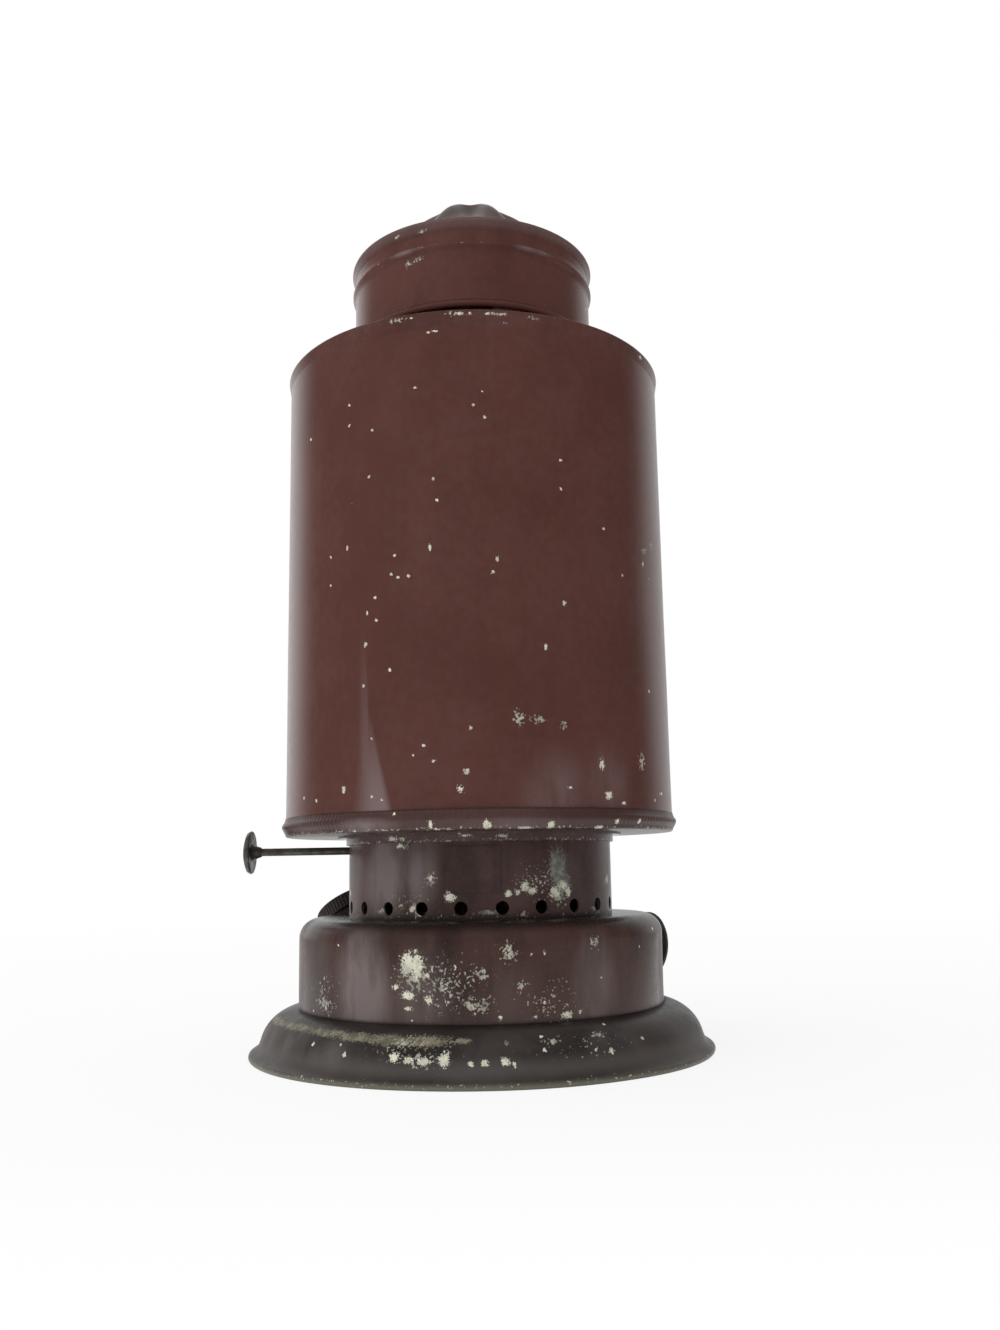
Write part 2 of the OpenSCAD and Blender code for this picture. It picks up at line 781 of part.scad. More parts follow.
// Fluted crown that closes the lid, a shell with a flat top
module vent_crown() {
    shell = crown_rings * crown_sides;
    top_z = crown_z(crown_top_r);
    points = [
        for (drop = [0, crown_sheet], i = [0 : crown_rings - 1], j = [0 : crown_sides - 1])
            crown_point(i, j, drop),
        [0, 0, top_z],
        [0, 0, top_z - crown_sheet]
    ];
    function at(s, i, j) = s * shell + i * crown_sides + j % crown_sides;
    skin = [
        for (i = [0 : crown_rings - 2], j = [0 : crown_sides - 1])
            each [
                [at(0, i, j), at(0, i + 1, j + 1), at(0, i, j + 1)],
                [at(0, i, j), at(0, i + 1, j), at(0, i + 1, j + 1)],
                [at(1, i, j), at(1, i, j + 1), at(1, i + 1, j + 1)],
                [at(1, i, j), at(1, i + 1, j + 1), at(1, i + 1, j)]
            ]
    ];
    ends = [
        for (j = [0 : crown_sides - 1])
            each [
                [at(0, 0, j), at(0, 0, j + 1), at(1, 0, j + 1)],
                [at(0, 0, j), at(1, 0, j + 1), at(1, 0, j)],
                [at(0, crown_rings - 1, j), 2 * shell, at(0, crown_rings - 1, j + 1)],
                [at(1, crown_rings - 1, j), at(1, crown_rings - 1, j + 1), 2 * shell + 1]
            ]
    ];
    color(japan) polyhedron(points, concat(skin, ends), convexity = 6);
}

base_skirt();
font_drum();
font_bottom();
filler_neck();
filler_washer();
filler_cap();
finger_loop();
gallery_collar();
burner_ring();
burner_basket();
air_screen();
wick_tube();
spindle_bracket();
flame_dome();
wick();
wick_spindle();
wick_wheels();
wick_knob();
socket_ring();
house_floor();
house_shell();
house_shoulder();
window_frame();
ruby_glass();
flue_neck();
drum_stays();
vent_drum();
vent_lid();
vent_crown();
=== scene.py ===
"""Darkroom lantern in old maroon japan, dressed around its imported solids."""

import json
import math

import bmesh
import bpy
from mathutils import Matrix, Vector, noise


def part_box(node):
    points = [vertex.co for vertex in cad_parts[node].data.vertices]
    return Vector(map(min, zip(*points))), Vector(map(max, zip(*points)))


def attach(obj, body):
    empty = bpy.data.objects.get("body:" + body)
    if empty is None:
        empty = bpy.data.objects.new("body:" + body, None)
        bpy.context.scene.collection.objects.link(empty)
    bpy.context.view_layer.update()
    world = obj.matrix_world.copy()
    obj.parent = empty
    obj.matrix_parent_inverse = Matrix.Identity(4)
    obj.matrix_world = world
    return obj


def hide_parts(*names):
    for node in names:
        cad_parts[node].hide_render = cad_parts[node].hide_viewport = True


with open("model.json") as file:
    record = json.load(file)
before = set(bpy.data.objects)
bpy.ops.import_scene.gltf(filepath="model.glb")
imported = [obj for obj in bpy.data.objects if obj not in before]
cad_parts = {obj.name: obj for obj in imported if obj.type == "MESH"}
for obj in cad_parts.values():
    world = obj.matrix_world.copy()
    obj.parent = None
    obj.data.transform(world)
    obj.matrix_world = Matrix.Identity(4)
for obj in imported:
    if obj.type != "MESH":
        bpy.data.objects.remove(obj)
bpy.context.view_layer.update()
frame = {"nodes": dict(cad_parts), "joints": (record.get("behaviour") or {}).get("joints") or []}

# Base skirt: a ring of tinplate spun to a quarter round, with a narrow brim at its foot.
# The brim's edge is rolled, and the lantern stands on that roll. Its crest is worn to the tin.
MM = 0.001
TIN = 0.6 * MM
WELD = 0.001 * MM
TURN_STEPS = 192
FULL_TURN = math.radians(360)
SHARP = math.radians(42)
SKIRT_ROUND = 10.75 * MM
BRIM_LEAVES = 2.6 * MM
SWEEP_FROM = 14.0
HEM = 1.0 * MM
HEM_FLAT = 0.25 * MM
HEM_TURN = (76, -200)
BRIM_BEND_IN = 1.75 * MM
BRIM_BEND_UP = 0.9 * MM
BRIM_FLAT = 1.1 * MM
SKIRT_WAVES = (0.35 * MM, 30 * MM)
SKIRT_TONE = (0.034, 0.026, 0.024)
# Pale grey of dust, and of the skirt's painted reflections.
SKIRT_FILM_AND_SHEEN = (0.115, 0.102, 0.094)
HEM_TONE = (0.16, 0.155, 0.115)
CREST_TONE = (0.27, 0.24, 0.17)
# Places of wear are bearing in degrees, then height, half width and half height in millimetres.
SKIRT_CHIPS = (
    (-19, 7, 1.5, 1.7), (-15.5, 6.5, 1.7, 1.0), (-12, 6.2, 1.9, 1.2), (-7.5, 6.8, 1.8, 2.6),
    (-1.5, 5.7, 0.9, 0.8), (1.5, 5.9, 1.3, 1.0), (6, 6, 1.3, 1.3), (8, 5.3, 0.6, 1.0), (15, 8.2, 0.5, 0.9),
    (27.5, 7.5, 0.6, 0.6), (31.5, 6.7, 1.0, 1.0), (42, 8.6, 0.7, 0.7), (-43, 8.5, 0.7, 0.8),
    (-34, 9, 0.5, 0.5), (-32, 7, 0.7, 0.9), (95, 6, 1.6, 1.2), (140, 7, 2.4, 1.8), (215, 8, 2.0, 2.4),
    (262, 7, 1.5, 1.6),
)
SKIRT_BALD = (
    (-72, 11, 13, 1.0), (-55, 11.2, 13, 1.0), (-41, 11, 11, 1.0), (-30, 10.7, 10, 1.2), (-21, 10.4, 9, 1.5),
    (-12, 10.4, 8, 1.6), (-3.5, 10.5, 3, 0.8), (6.5, 10, 0.7, 1.9), (120, 10.8, 14, 1.1),
    (192, 10.6, 12, 1.2),
)
SKIRT_SCUFFS = (
    (-17, 10, 9, 2.4), (17, 9.9, 4, 1.1), (29, 10.4, 5, 1.2), (-13, 6.5, 9, 3), (170, 8, 9, 4),
)
# Pale patches: those on the back are painted reflections, the one at the front is dust. A strength follows
# each place.
SKIRT_HAZE_AND_SHEEN = (
    (-72, 7, 26, 10, 1.0), (-55, 8, 16, 8, 0.9), (-36, 7, 14, 6, 0.6), (62, 6, 24, 9, 0.7),
    (34, 8, 16, 8, 0.4), (180, 6, 40, 9, 0.4),
)


def arc(centre_r, centre_z, radius, start, end, steps=10):
    """Points of a round stretch of an outline, from angle start to end in degrees."""
    turns = [math.radians(start + (end - start) * i / steps) for i in range(steps + 1)]
    return [(centre_r + radius * math.cos(a), centre_z + radius * math.sin(a)) for a in turns]


def straight(start, end, steps):
    """Evenly spaced points of a straight stretch of an outline."""
    shares = [i / steps for i in range(steps + 1)]
    return [(start[0] + (end[0] - start[0]) * s, start[1] + (end[1] - start[1]) * s) for s in shares]


def spun(outline, closed=False, steps=TURN_STEPS, angle=FULL_TURN):
    """Mesh of an outline of (radius, height) points, turned about the lantern's axis."""
    mesh = bmesh.new()
    points = [mesh.verts.new((r, 0, z)) for r, z in outline]
    pairs = list(zip(points, points[1:]))
    if closed:
        pairs.append((points[-1], points[0]))
    section = points + [mesh.edges.new(pair) for pair in pairs]
    bmesh.ops.spin(
        mesh, geom=section, cent=(0, 0, 0), axis=(0, 0, 1), dvec=(0, 0, 0), angle=angle, steps=steps,
        use_merge=angle == FULL_TURN,
    )
    bmesh.ops.remove_doubles(mesh, verts=mesh.verts[:], dist=WELD)
    bmesh.ops.recalc_face_normals(mesh, faces=mesh.faces[:])
    return mesh


def uneven(mesh, amount, size):
    """Pushes a spun wall in a little here and there, as handled tin is."""
    for vert in mesh.verts:
        outward = Vector((vert.co.x, vert.co.y, 0)).normalized()
        vert.co -= outward * amount * (0.5 + 0.5 * noise.noise(vert.co / size))


def on_wall(radius, bearing, height):
    """Point on a round wall. Bearing is in degrees from the middle of the back, to the right."""
    turn = math.radians(bearing)
    return Vector((radius * math.sin(turn), -radius * math.cos(turn), height))


def shader(tree, kind, *feeds, **settings):
    """Adds a shader node. Feeds go to its sockets in turn, and None leaves a socket as it is."""
    made = tree.nodes.new("ShaderNode" + kind)
    for key, value in settings.items():
        setattr(made, key, value)
    for socket, feed in zip(made.inputs, feeds):
        if isinstance(feed, bpy.types.NodeSocket):
            tree.links.new(feed, socket)
        elif feed is not None:
            socket.default_value = feed
    return made


def feed_named(tree, made, feeds):
    """Feeds a node's sockets by name."""
    for name, feed in feeds.items():
        if isinstance(feed, bpy.types.NodeSocket):
            tree.links.new(feed, made.inputs[name])
        else:
            made.inputs[name].default_value = feed


def maths(tree, operation, *feeds):
    return shader(tree, "Math", *feeds, operation=operation).outputs[0]


def most(tree, *values):
    """The largest of several values."""
    top = values[0]
    for value in values[1:]:
        top = maths(tree, "MAXIMUM", top, value)
    return top


def speckle(tree, place, scale, detail, roughness=0.55):
    """Noise from 0 to 1, scale in features a metre."""
    return shader(tree, "TexNoise", place, None, scale, detail, roughness).outputs["Fac"]


def ramp(tree, value, low, high, to_low=0.0, to_high=1.0):
    """Soft step of a value between two limits."""
    return shader(
        tree, "MapRange", value, low, high, to_low, to_high, interpolation_type="SMOOTHSTEP"
    ).outputs["Result"]


def blend_colours(tree, share, under, over):
    mix = shader(tree, "Mix", share, data_type="RGBA")
    for socket, feed in ((mix.inputs[6], under), (mix.inputs[7], over)):
        if isinstance(feed, bpy.types.NodeSocket):
            tree.links.new(feed, socket)
        else:
            socket.default_value = (*feed, 1)
    return mix.outputs[2]


def shaded(colour, factor):
    return tuple(channel * factor for channel in colour)


def bumped(tree, height, distance, under=None):
    """Bump of a height field, distance in metres, over another bump."""
    bump = shader(tree, "Bump")
    feed_named(tree, bump, {"Height": height, "Distance": distance, "Strength": 1.0})
    if under is not None:
        tree.links.new(under, bump.inputs["Normal"])
    return bump.outputs["Normal"]


def from_place(tree, place, wall, bearing, height, wide, tall):
    """Distance from the middle of a place on the wall, 1 at the place's edge.

    Wall gives the wall's radius at a height.
    """
    middle = on_wall(wall(height * MM), bearing, height * MM)
    reach = (1 / (wide * MM), 1 / (wide * MM), 1 / (tall * MM))
    offset = tuple(-m * s for m, s in zip(middle, reach))
    moved = shader(tree, "VectorMath", place, reach, offset, operation="MULTIPLY_ADD").outputs["Vector"]
    return shader(tree, "VectorMath", moved, operation="LENGTH").outputs["Value"]


FAR_OFF = 9.0


def from_places(tree, place, wall, spots):
    """Distance from the nearest of several places on the wall, and far where there are none."""
    near = FAR_OFF
    for spot in spots:
        near = maths(tree, "MINIMUM", from_place(tree, place, wall, *spot), near)
    return near


TORN_RAGGED = 3.0
TORN_EDGE = (2.13, 2.27)


def torn(tree, near, ragged):
    """1 inside places whose edge is ragged, and 0 outside."""
    return ramp(tree, maths(tree, "MULTIPLY_ADD", ragged, TORN_RAGGED, near), *TORN_EDGE, 1.0, 0.0)


STREAK_LEFT = (0.0, 0.65)
STREAK_RIGHT = (0.8, 1.0)
STREAK_FRONT = 10 * MM


def from_sheen_streak(tree, place, high, low):
    """Share of a painted highlight streak across the back, soft on its left and sharp on its right.

    Both ends are a height, the left edge and the width in millimetres.
    """
    across, deep, height = shader(tree, "SeparateXYZ", place).outputs
    ends = (low[0] * MM, high[0] * MM)
    left, width = [
        shader(tree, "MapRange", height, *ends, low[i] * MM, high[i] * MM).outputs["Result"] for i in (1, 2)
    ]
    share = maths(tree, "DIVIDE", maths(tree, "SUBTRACT", across, left), width)
    from_left = ramp(tree, share, *STREAK_LEFT)
    from_right = ramp(tree, share, *STREAK_RIGHT, 1.0, 0.0)
    inside = maths(tree, "MULTIPLY", from_left, from_right)
    faded = maths(tree, "MULTIPLY", inside, ramp(tree, height, *ends, 1.0, 0.0))
    return maths(tree, "MULTIPLY", faded, ramp(tree, deep, -STREAK_FRONT, 0.0, 1.0, 0.0))


# Scales of patterns are in features a metre.
PINHOLE_NET = 250
PINHOLE_SIZES = (-0.01, 0.15)
PINHOLE_EDGE = 0.03
SHAKE_SCALE = 1400
SHAKE = (1.1 * MM,) * 3


def pinholes(tree, place, share):
    """Small round chips in a share of the cells of a fine, uneven net."""
    wander = shader(tree, "TexNoise", place, None, SHAKE_SCALE, 2).outputs["Color"]
    shaken = shader(tree, "VectorMath", wander, SHAKE, place, operation="MULTIPLY_ADD").outputs["Vector"]
    cells = shader(tree, "TexVoronoi", shaken, None, PINHOLE_NET)
    lot = shader(tree, "SeparateColor", cells.outputs["Color"]).outputs[0]
    size = ramp(tree, lot, 1 - share, 1.0, *PINHOLE_SIZES)
    return ramp(tree, maths(tree, "SUBTRACT", size, cells.outputs["Distance"]), 0.0, PINHOLE_EDGE)


TIN_BRIGHT = (0.82, 0.80, 0.65)
TIN_WORN = (0.50, 0.48, 0.40)
TIN_DULL = (0.27, 0.275, 0.235)
# Near-black painted shade, laid as bands into joints and creases.
CREVICE_SHADE = (0.014, 0.011, 0.009)
SMOKE = (0.03, 0.022, 0.019)
CLOUD_SCALE = 26
DRIFT_SCALE = 130
GRAIN_SCALE = 420
FLAKE_SCALE = 1250
RAGGED_SCALE = 1900
WAVE_SCALE = 34
WAVE_DEEP = 0.12 * MM
PEEL_SCALE = 1500
PEEL_DEEP = 0.008 * MM
PAINT_DEEP = 0.02 * MM
UPRIGHT_STRETCH = (1.0, 1.0, 0.3)
DRIFT_STEP = (0.3, 0.7, 0.45, 1.25)
MIST_STEP = (0.12, 0.4)
BLOTCH_STEP = (0.5, 0.82)
MOTTLE_STEP = (0.38, 0.62)
FLAKED_FROM = (0.71, 0.75)
FLAKED_BY_WEAR = 0.3
INWARD_STEP = (-4 * MM, -1 * MM)
DULLED_STEP = (0.15, 0.9)
DULLED_BY_GRAIN = 0.6
BARE_ROUGHNESS = 0.5
BARE_METALLIC = 0.2


def japan(
    name, tone, film_and_sheen, dusty, gloss, shine, wall, specks=0.0, chips=(), scuffs=(), bald=(), bald_tone=TIN_DULL,
    hazes_and_sheens=(), sheen_streaks=(), peppered=(), rubbed=(), bands=(), mottled=0.12,
):
    """Old japan on tinplate, clouded and dusty, and chipped, scuffed and rubbed down to the tin.

    Chips are bright and ragged, scuffs are clusters of fine flakes, and bald places are dull and wide.
    Faces that look inward are smoked, and keep their paint.
    Each haze is a pale patch: on the back a painted reflection, elsewhere dust. Each streak is a painted
    highlight. Each haze and peppered place has a strength after it, and each streak two ends and a strength.
    Rubbed edges are a height, a half width and a strength, and bands of another colour have that colour after
    them.
    """
    paint = bpy.data.materials.new(name)
    paint.use_nodes = True
    tree = paint.node_tree
    surface = tree.nodes["Principled BSDF"]
    coordinates = shader(tree, "TexCoord").outputs
    place, facing = coordinates["Object"], coordinates["Normal"]
    height = shader(tree, "SeparateXYZ", place).outputs["Z"]
    cloud = speckle(tree, place, CLOUD_SCALE, 3)
    grain = speckle(tree, place, GRAIN_SCALE, 5, 0.6)
    ragged = speckle(tree, place, RAGGED_SCALE, 5, 0.7)
    flaky = speckle(tree, place, FLAKE_SCALE, 4, 0.6)
    upright = shader(tree, "VectorMath", place, UPRIGHT_STRETCH, operation="MULTIPLY").outputs["Vector"]
    drifted = ramp(tree, speckle(tree, upright, DRIFT_SCALE, 4, 0.6), *DRIFT_STEP)

    def near_height(level, half_width, strength):
        away = maths(tree, "ABSOLUTE", maths(tree, "SUBTRACT", height, level * MM))
        return ramp(tree, away, 0.0, half_width * MM, strength, 0.0)

    # The pale share: dust over the whole, with painted reflections from each haze and painted highlights from
    # each streak.
    dust_and_sheen = maths(tree, "MULTIPLY", ramp(tree, maths(tree, "MULTIPLY", cloud, grain), *MIST_STEP), dusty)
    for *spot, strength in hazes_and_sheens:
        away = from_place(tree, place, wall, *spot)
        clouded = maths(tree, "MULTIPLY", drifted, ramp(tree, away, 0.0, 1.0, strength, 0.0))
        dust_and_sheen = most(tree, dust_and_sheen, clouded)
    for high, low, strength in sheen_streaks:
        dust_and_sheen = most(tree, dust_and_sheen, maths(tree, "MULTIPLY", from_sheen_streak(tree, place, high, low), strength))
    blotched = ramp(tree, maths(tree, "MULTIPLY_ADD", drifted, 0.2, cloud), *BLOTCH_STEP)
    colour = blend_colours(tree, blotched, shaded(tone, 1 - mottled), shaded(tone, 1 + mottled))
    colour = blend_colours(tree, dust_and_sheen, colour, film_and_sheen)
    for *edge, edge_tone in bands:
        colour = blend_colours(tree, near_height(*edge), colour, edge_tone)

    chipped = torn(tree, from_places(tree, place, wall, chips), ragged)
    thinned = maths(tree, "SUBTRACT", 1.0, from_places(tree, place, wall, scuffs))
    thinned = most(tree, thinned, 0.0, *[near_height(*edge) for edge in rubbed])
    for *spot, strength in peppered:
        away = from_place(tree, place, wall, *spot)
        thinned = most(tree, thinned, ramp(tree, away, 0.0, 1.0, strength, 0.0))
    flaked = ramp(tree, maths(tree, "MULTIPLY_ADD", thinned, FLAKED_BY_WEAR, flaky), *FLAKED_FROM)
    scuffed = maths(tree, "MULTIPLY", flaked, ramp(tree, thinned, 0.0, 0.1))
    balded = torn(tree, from_places(tree, place, wall, bald), ragged)
    mottle = ramp(tree, grain, *MOTTLE_STEP)
    dull = blend_colours(tree, mottle, shaded(bald_tone, 0.5), bald_tone)
    worn = blend_colours(tree, mottle, shaded(TIN_WORN, 0.55), TIN_WORN)
    bright = blend_colours(tree, mottle, shaded(TIN_BRIGHT, 0.7), TIN_BRIGHT)
    colour = blend_colours(tree, balded, colour, dull)
    colour = blend_colours(tree, scuffed, colour, worn)
    colour = blend_colours(tree, most(tree, chipped, pinholes(tree, place, specks)), colour, bright)
    outward = shader(tree, "VectorMath", place, (1.0, 1.0, 0.0), operation="MULTIPLY").outputs["Vector"]
    faced = shader(tree, "VectorMath", facing, outward, operation="DOT_PRODUCT").outputs["Value"]
    inward = ramp(tree, faced, *INWARD_STEP, 1.0, 0.0)
    colour = blend_colours(tree, inward, colour, SMOKE)
    bare = maths(tree, "SUBTRACT", most(tree, chipped, scuffed, balded), inward)

    grainy = maths(tree, "MULTIPLY", grain, DULLED_BY_GRAIN)
    dulled = ramp(tree, maths(tree, "ADD", dust_and_sheen, grainy), *DULLED_STEP, *gloss)
    waves = bumped(tree, speckle(tree, place, WAVE_SCALE, 1), WAVE_DEEP)
    peel = bumped(tree, speckle(tree, place, PEEL_SCALE, 2), PEEL_DEEP, waves)
    surface.inputs["Specular IOR Level"].default_value = shine
    feed_named(tree, surface, {
        "Base Color": colour,
        "Roughness": most(tree, dulled, maths(tree, "MULTIPLY", bare, BARE_ROUGHNESS)),
        "Metallic": maths(tree, "MULTIPLY", bare, BARE_METALLIC),
        "Normal": bumped(tree, maths(tree, "SUBTRACT", 1.0, bare), PAINT_DEEP, peel),
    })
    return paint


def fitted(name, mesh, body, finish, replaced=(), wall=0.0):
    """Makes a mesh a piece of the lantern, smooth, painted and riding on its body. A sheet gets its wall."""
    if wall:
        bmesh.ops.solidify(mesh, geom=mesh.faces[:], thickness=wall)
    data = bpy.data.meshes.new(name)
    mesh.to_mesh(data)
    mesh.free()
    data.shade_smooth()
    data.set_sharp_from_angle(angle=SHARP)
    data.materials.append(finish)
    piece = bpy.data.objects.new(name, data)
    bpy.context.scene.collection.objects.link(piece)
    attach(piece, body)
    if replaced:
        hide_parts(*replaced)
    return piece


font_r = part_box("font_drum")[1].x
brim_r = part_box("base_skirt")[1].x
skirt_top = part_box("base_skirt")[1].z
skirt_mid = skirt_top - SKIRT_ROUND
brim_turn = math.degrees(math.asin((BRIM_LEAVES - skirt_mid) / SKIRT_ROUND))
hem_r = brim_r - HEM
hem_z = HEM - HEM_FLAT


def skirt_wall(height):
    """Radius of the skirt's round at a height."""
    above = min(max(height - skirt_mid, 0.0), SKIRT_ROUND)
    return font_r + math.sqrt(SKIRT_ROUND**2 - above**2)


skirt_outline = (
    arc(font_r, skirt_mid, SKIRT_ROUND, 90, SWEEP_FROM, 20)
    + [(hem_r - BRIM_BEND_IN, BRIM_LEAVES + BRIM_BEND_UP), (hem_r - BRIM_FLAT, BRIM_LEAVES)]
    + arc(hem_r, hem_z, HEM, *HEM_TURN, 22)
    + arc(font_r, skirt_mid, SKIRT_ROUND - TIN, brim_turn, 90, 20)
)
skirt_outline = [(r, max(z, 0.0)) for r, z in skirt_outline]
skirt_mesh = spun(skirt_outline, closed=True)
uneven(skirt_mesh, *SKIRT_WAVES)
skirt_paint = japan(
    "skirt_japan", SKIRT_TONE, SKIRT_FILM_AND_SHEEN, dusty=0.12, gloss=(0.34, 0.55), shine=0.25, wall=skirt_wall,
    specks=0.1, chips=SKIRT_CHIPS, scuffs=SKIRT_SCUFFS, bald=SKIRT_BALD, bald_tone=CREST_TONE,
    hazes_and_sheens=SKIRT_HAZE_AND_SHEEN, rubbed=[(1.0, 1.4, 0.4)],
    peppered=[(-15, 8, 20, 6, 0.5), (25, 8, 26, 6, 0.36)], mottled=0.3,
    # The band at the skirt's top is painted shade in its joint with the font.
    bands=[(4.2, 3.6, 0.5, SKIRT_FILM_AND_SHEEN), (skirt_top / MM, 1.2, 0.8, CREVICE_SHADE), (0.4, 1.6, 0.9, HEM_TONE)],
)
fitted("skirt_spun", skirt_mesh, "base", skirt_paint, ["base_skirt"])

# Oil font: a drawn tin drum with a rounded shoulder, soldered into the skirt.
# Oil and handling have dulled its paint, and flakes have come off it. Its top round the collar's foot is
# darkened with painted shade.
FONT_ROUND = 5.5 * MM
FONT_UNDER_RING = 3 * MM
FONT_WAVES = (0.5 * MM, 24 * MM)
FONT_TONE = (0.046, 0.021, 0.016)
# Pale grey of dust, and of the font's painted reflections.
FONT_FILM_AND_SHEEN = (0.16, 0.125, 0.12)
FONT_CHIPS = (
    (-19.7, 28, 2.4, 3.1), (-16.8, 27.3, 2.1, 3.5), (-17.3, 31.2, 0.6, 0.7), (-12.5, 26.6, 0.5, 1.2),
    (-23.4, 22.3, 1.0, 1.0), (-19.7, 20.2, 2.2, 1.2), (-13.4, 19.3, 1.3, 1.2), (-19.5, 17.1, 1.3, 0.8),
    (-6, 26.8, 0.5, 1.2), (25, 14.7, 2.0, 1.1), (29.3, 15.2, 0.8, 0.6), (15.8, 14.7, 0.6, 0.6),
    (6, 14.8, 0.7, 0.9), (18.4, 18, 0.6, 0.6), (15, 29.8, 0.5, 0.6), (18.7, 30.1, 0.5, 0.7),
    (120, 24, 2.0, 2.6), (165, 30, 1.6, 1.6), (200, 20, 2.4, 1.8), (250, 26, 1.8, 2.2),
)
FONT_SCUFFS = (
    (-9.5, 22.5, 3.4, 5), (1.2, 25.3, 3, 3.4), (8.6, 30.7, 4.4, 5), (12, 22.6, 2.4, 3), (-51, 16.6, 7, 4),
    (-18, 25, 8, 9), (35, 32, 3, 2.6), (-1, 18, 8, 4), (130, 20, 9, 6), (210, 26, 10, 6),
)
# Pale patches: those on the back are painted reflection bands, the two at the front are dust. A strength
# follows each place.
FONT_HAZE_AND_SHEEN = (
    (-35, 20, 13, 26, 1.6), (-56, 22, 12, 24, 0.4), (-16, 20, 12, 20, 0.5), (10, 20, 12, 16, 0.2),
    (35, 20, 10, 22, 1.0), (76, 20, 8, 22, 0.8), (-75, 24, 10, 24, 1.2), (130, 22, 20, 20, 0.4),
    (220, 22, 24, 20, 0.4),
)
font_low, font_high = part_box("font_drum")
ring_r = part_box("burner_ring")[1].x
font_outline = (
    straight((font_r, font_low.z), (font_r, font_high.z - FONT_ROUND), 14)
    + arc(font_r - FONT_ROUND, font_high.z - FONT_ROUND, FONT_ROUND, 0, 90, 12)[1:]
    + straight((font_r - FONT_ROUND, font_high.z), (ring_r - FONT_UNDER_RING, font_high.z), 8)[1:]
)
font_mesh = spun(font_outline)
uneven(font_mesh, *FONT_WAVES)


def font_wall(height):
    return font_r


font_paint = japan(
    "font_japan", FONT_TONE, FONT_FILM_AND_SHEEN, dusty=0.06, gloss=(0.24, 0.45), shine=0.4, wall=font_wall,
    specks=0.12, chips=FONT_CHIPS, scuffs=FONT_SCUFFS, hazes_and_sheens=FONT_HAZE_AND_SHEEN,
    peppered=[(-8, 23, 17, 13, 0.62), (-52, 20, 12, 10, 0.5), (20, 18, 14, 10, 0.5)], mottled=0.35,
    # Both bands are painted shade: on the top round the collar's foot, and in the joint with the skirt.
    bands=[(font_high.z / MM, 3.4, 0.95, CREVICE_SHADE), (skirt_top / MM, 1.0, 0.7, CREVICE_SHADE)],
)
fitted("font_drawn", font_mesh, "base", font_paint, ["font_drum"], TIN)


def repaint(finish, *nodes):
    """Gives solids that keep their own shape a finish."""
    for node in nodes:
        surface = frame["nodes"][node].data.materials
        surface.clear()
        surface.append(finish)


repaint(font_paint, "font_bottom")

# Gallery collar: a strip of tin bent round and soldered on the font, with punched air holes near its foot.
# A small plate is soldered over the place where the strip's ends meet.
COLLAR_TONE = (0.072, 0.037, 0.032)
# Pale grey of dust on the collar, filler and crown, and of the collar's painted reflections.
COLLAR_FILM_AND_SHEEN = (0.17, 0.135, 0.13)
COLLAR_CHIPS = (
    (-11, 44, 1.9, 1.6), (12, 44.6, 1.2, 1.1), (-33, 57.7, 1.3, 0.8), (32, 44.6, 1.8, 2.0),
    (36, 46.6, 1.8, 1.5), (39, 44.6, 1.3, 1.6), (19, 46.4, 1.4, 1.8), (22, 45.2, 1.5, 1.1),
    (16, 45, 0.9, 0.9), (-27, 41, 1.0, 0.9), (-24, 39.6, 0.9, 0.7), (-19, 48.8, 0.7, 1.0),
    (71, 47.7, 1.0, 1.4), (150, 47, 2.0, 1.8), (232, 50, 1.6, 2.0), (285, 45, 1.5, 1.2),
)
COLLAR_SCUFFS = (
    (-19, 48.6, 3.4, 3.4), (20, 46, 3.4, 3.6), (35, 44.2, 5, 5.6), (70, 47.7, 4, 3.2), (-43, 40.4, 3, 1.4),
    (-26, 41, 3.4, 3), (4.5, 40, 4.8, 1.2), (18, 39.2, 2.4, 1.2), (55, 40, 3.4, 1.4), (-32, 57.6, 4, 1.6),
    (150, 47, 7, 5), (230, 50, 6, 4),
)
COLLAR_BALD = (
    (34, 51.2, 3.8, 6.4), (36, 47, 3.8, 4), (4.5, 39.9, 3.6, 0.7), (-44, 40.2, 2.4, 0.8), (160, 49, 3, 4),
)
# Pale patches: those on the back are painted reflection bands, the two at the front are dust. A strength
# follows each place.
COLLAR_HAZE_AND_SHEEN = (
    (-42, 51, 13, 18, 1.5), (-24, 50, 8, 16, 0.8), (-72, 50, 12, 18, 0.6), (14, 52, 6, 8, 0.14),
    (40, 49, 8, 10, 0.3), (74, 50, 8, 14, 0.4), (160, 50, 16, 14, 0.4), (240, 50, 16, 14, 0.4),
)
LAP_FROM = -13.0
LAP_TO = 9.0
LAP_LOW = 45.0 * MM
LAP_HIGH = 57.2 * MM
LAP_TIN = 0.3 * MM
collar_low, collar_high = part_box("gallery_collar")
collar_r = collar_high.x


def collar_wall(height):
    return collar_r


collar_paint = japan(
    "collar_japan", COLLAR_TONE, COLLAR_FILM_AND_SHEEN, dusty=0.08, gloss=(0.24, 0.45), shine=0.5, wall=collar_wall,
    specks=0.1, chips=COLLAR_CHIPS, scuffs=COLLAR_SCUFFS, bald=COLLAR_BALD, hazes_and_sheens=COLLAR_HAZE_AND_SHEEN,
    peppered=[(25, 47, 12, 9, 0.6), (-30, 42, 14, 6, 0.5)], mottled=0.3, rubbed=[(39, 1.6, 0.34)],
    # The band is painted shade round the collar's foot.
    bands=[(collar_low.z / MM, 2.0, 0.8, CREVICE_SHADE)],
)
repaint(collar_paint, "gallery_collar")
lap_outline = straight((collar_r + LAP_TIN, LAP_LOW), (collar_r + LAP_TIN, LAP_HIGH), 6)
lap_mesh = spun(lap_outline, steps=24, angle=math.radians(LAP_TO - LAP_FROM))
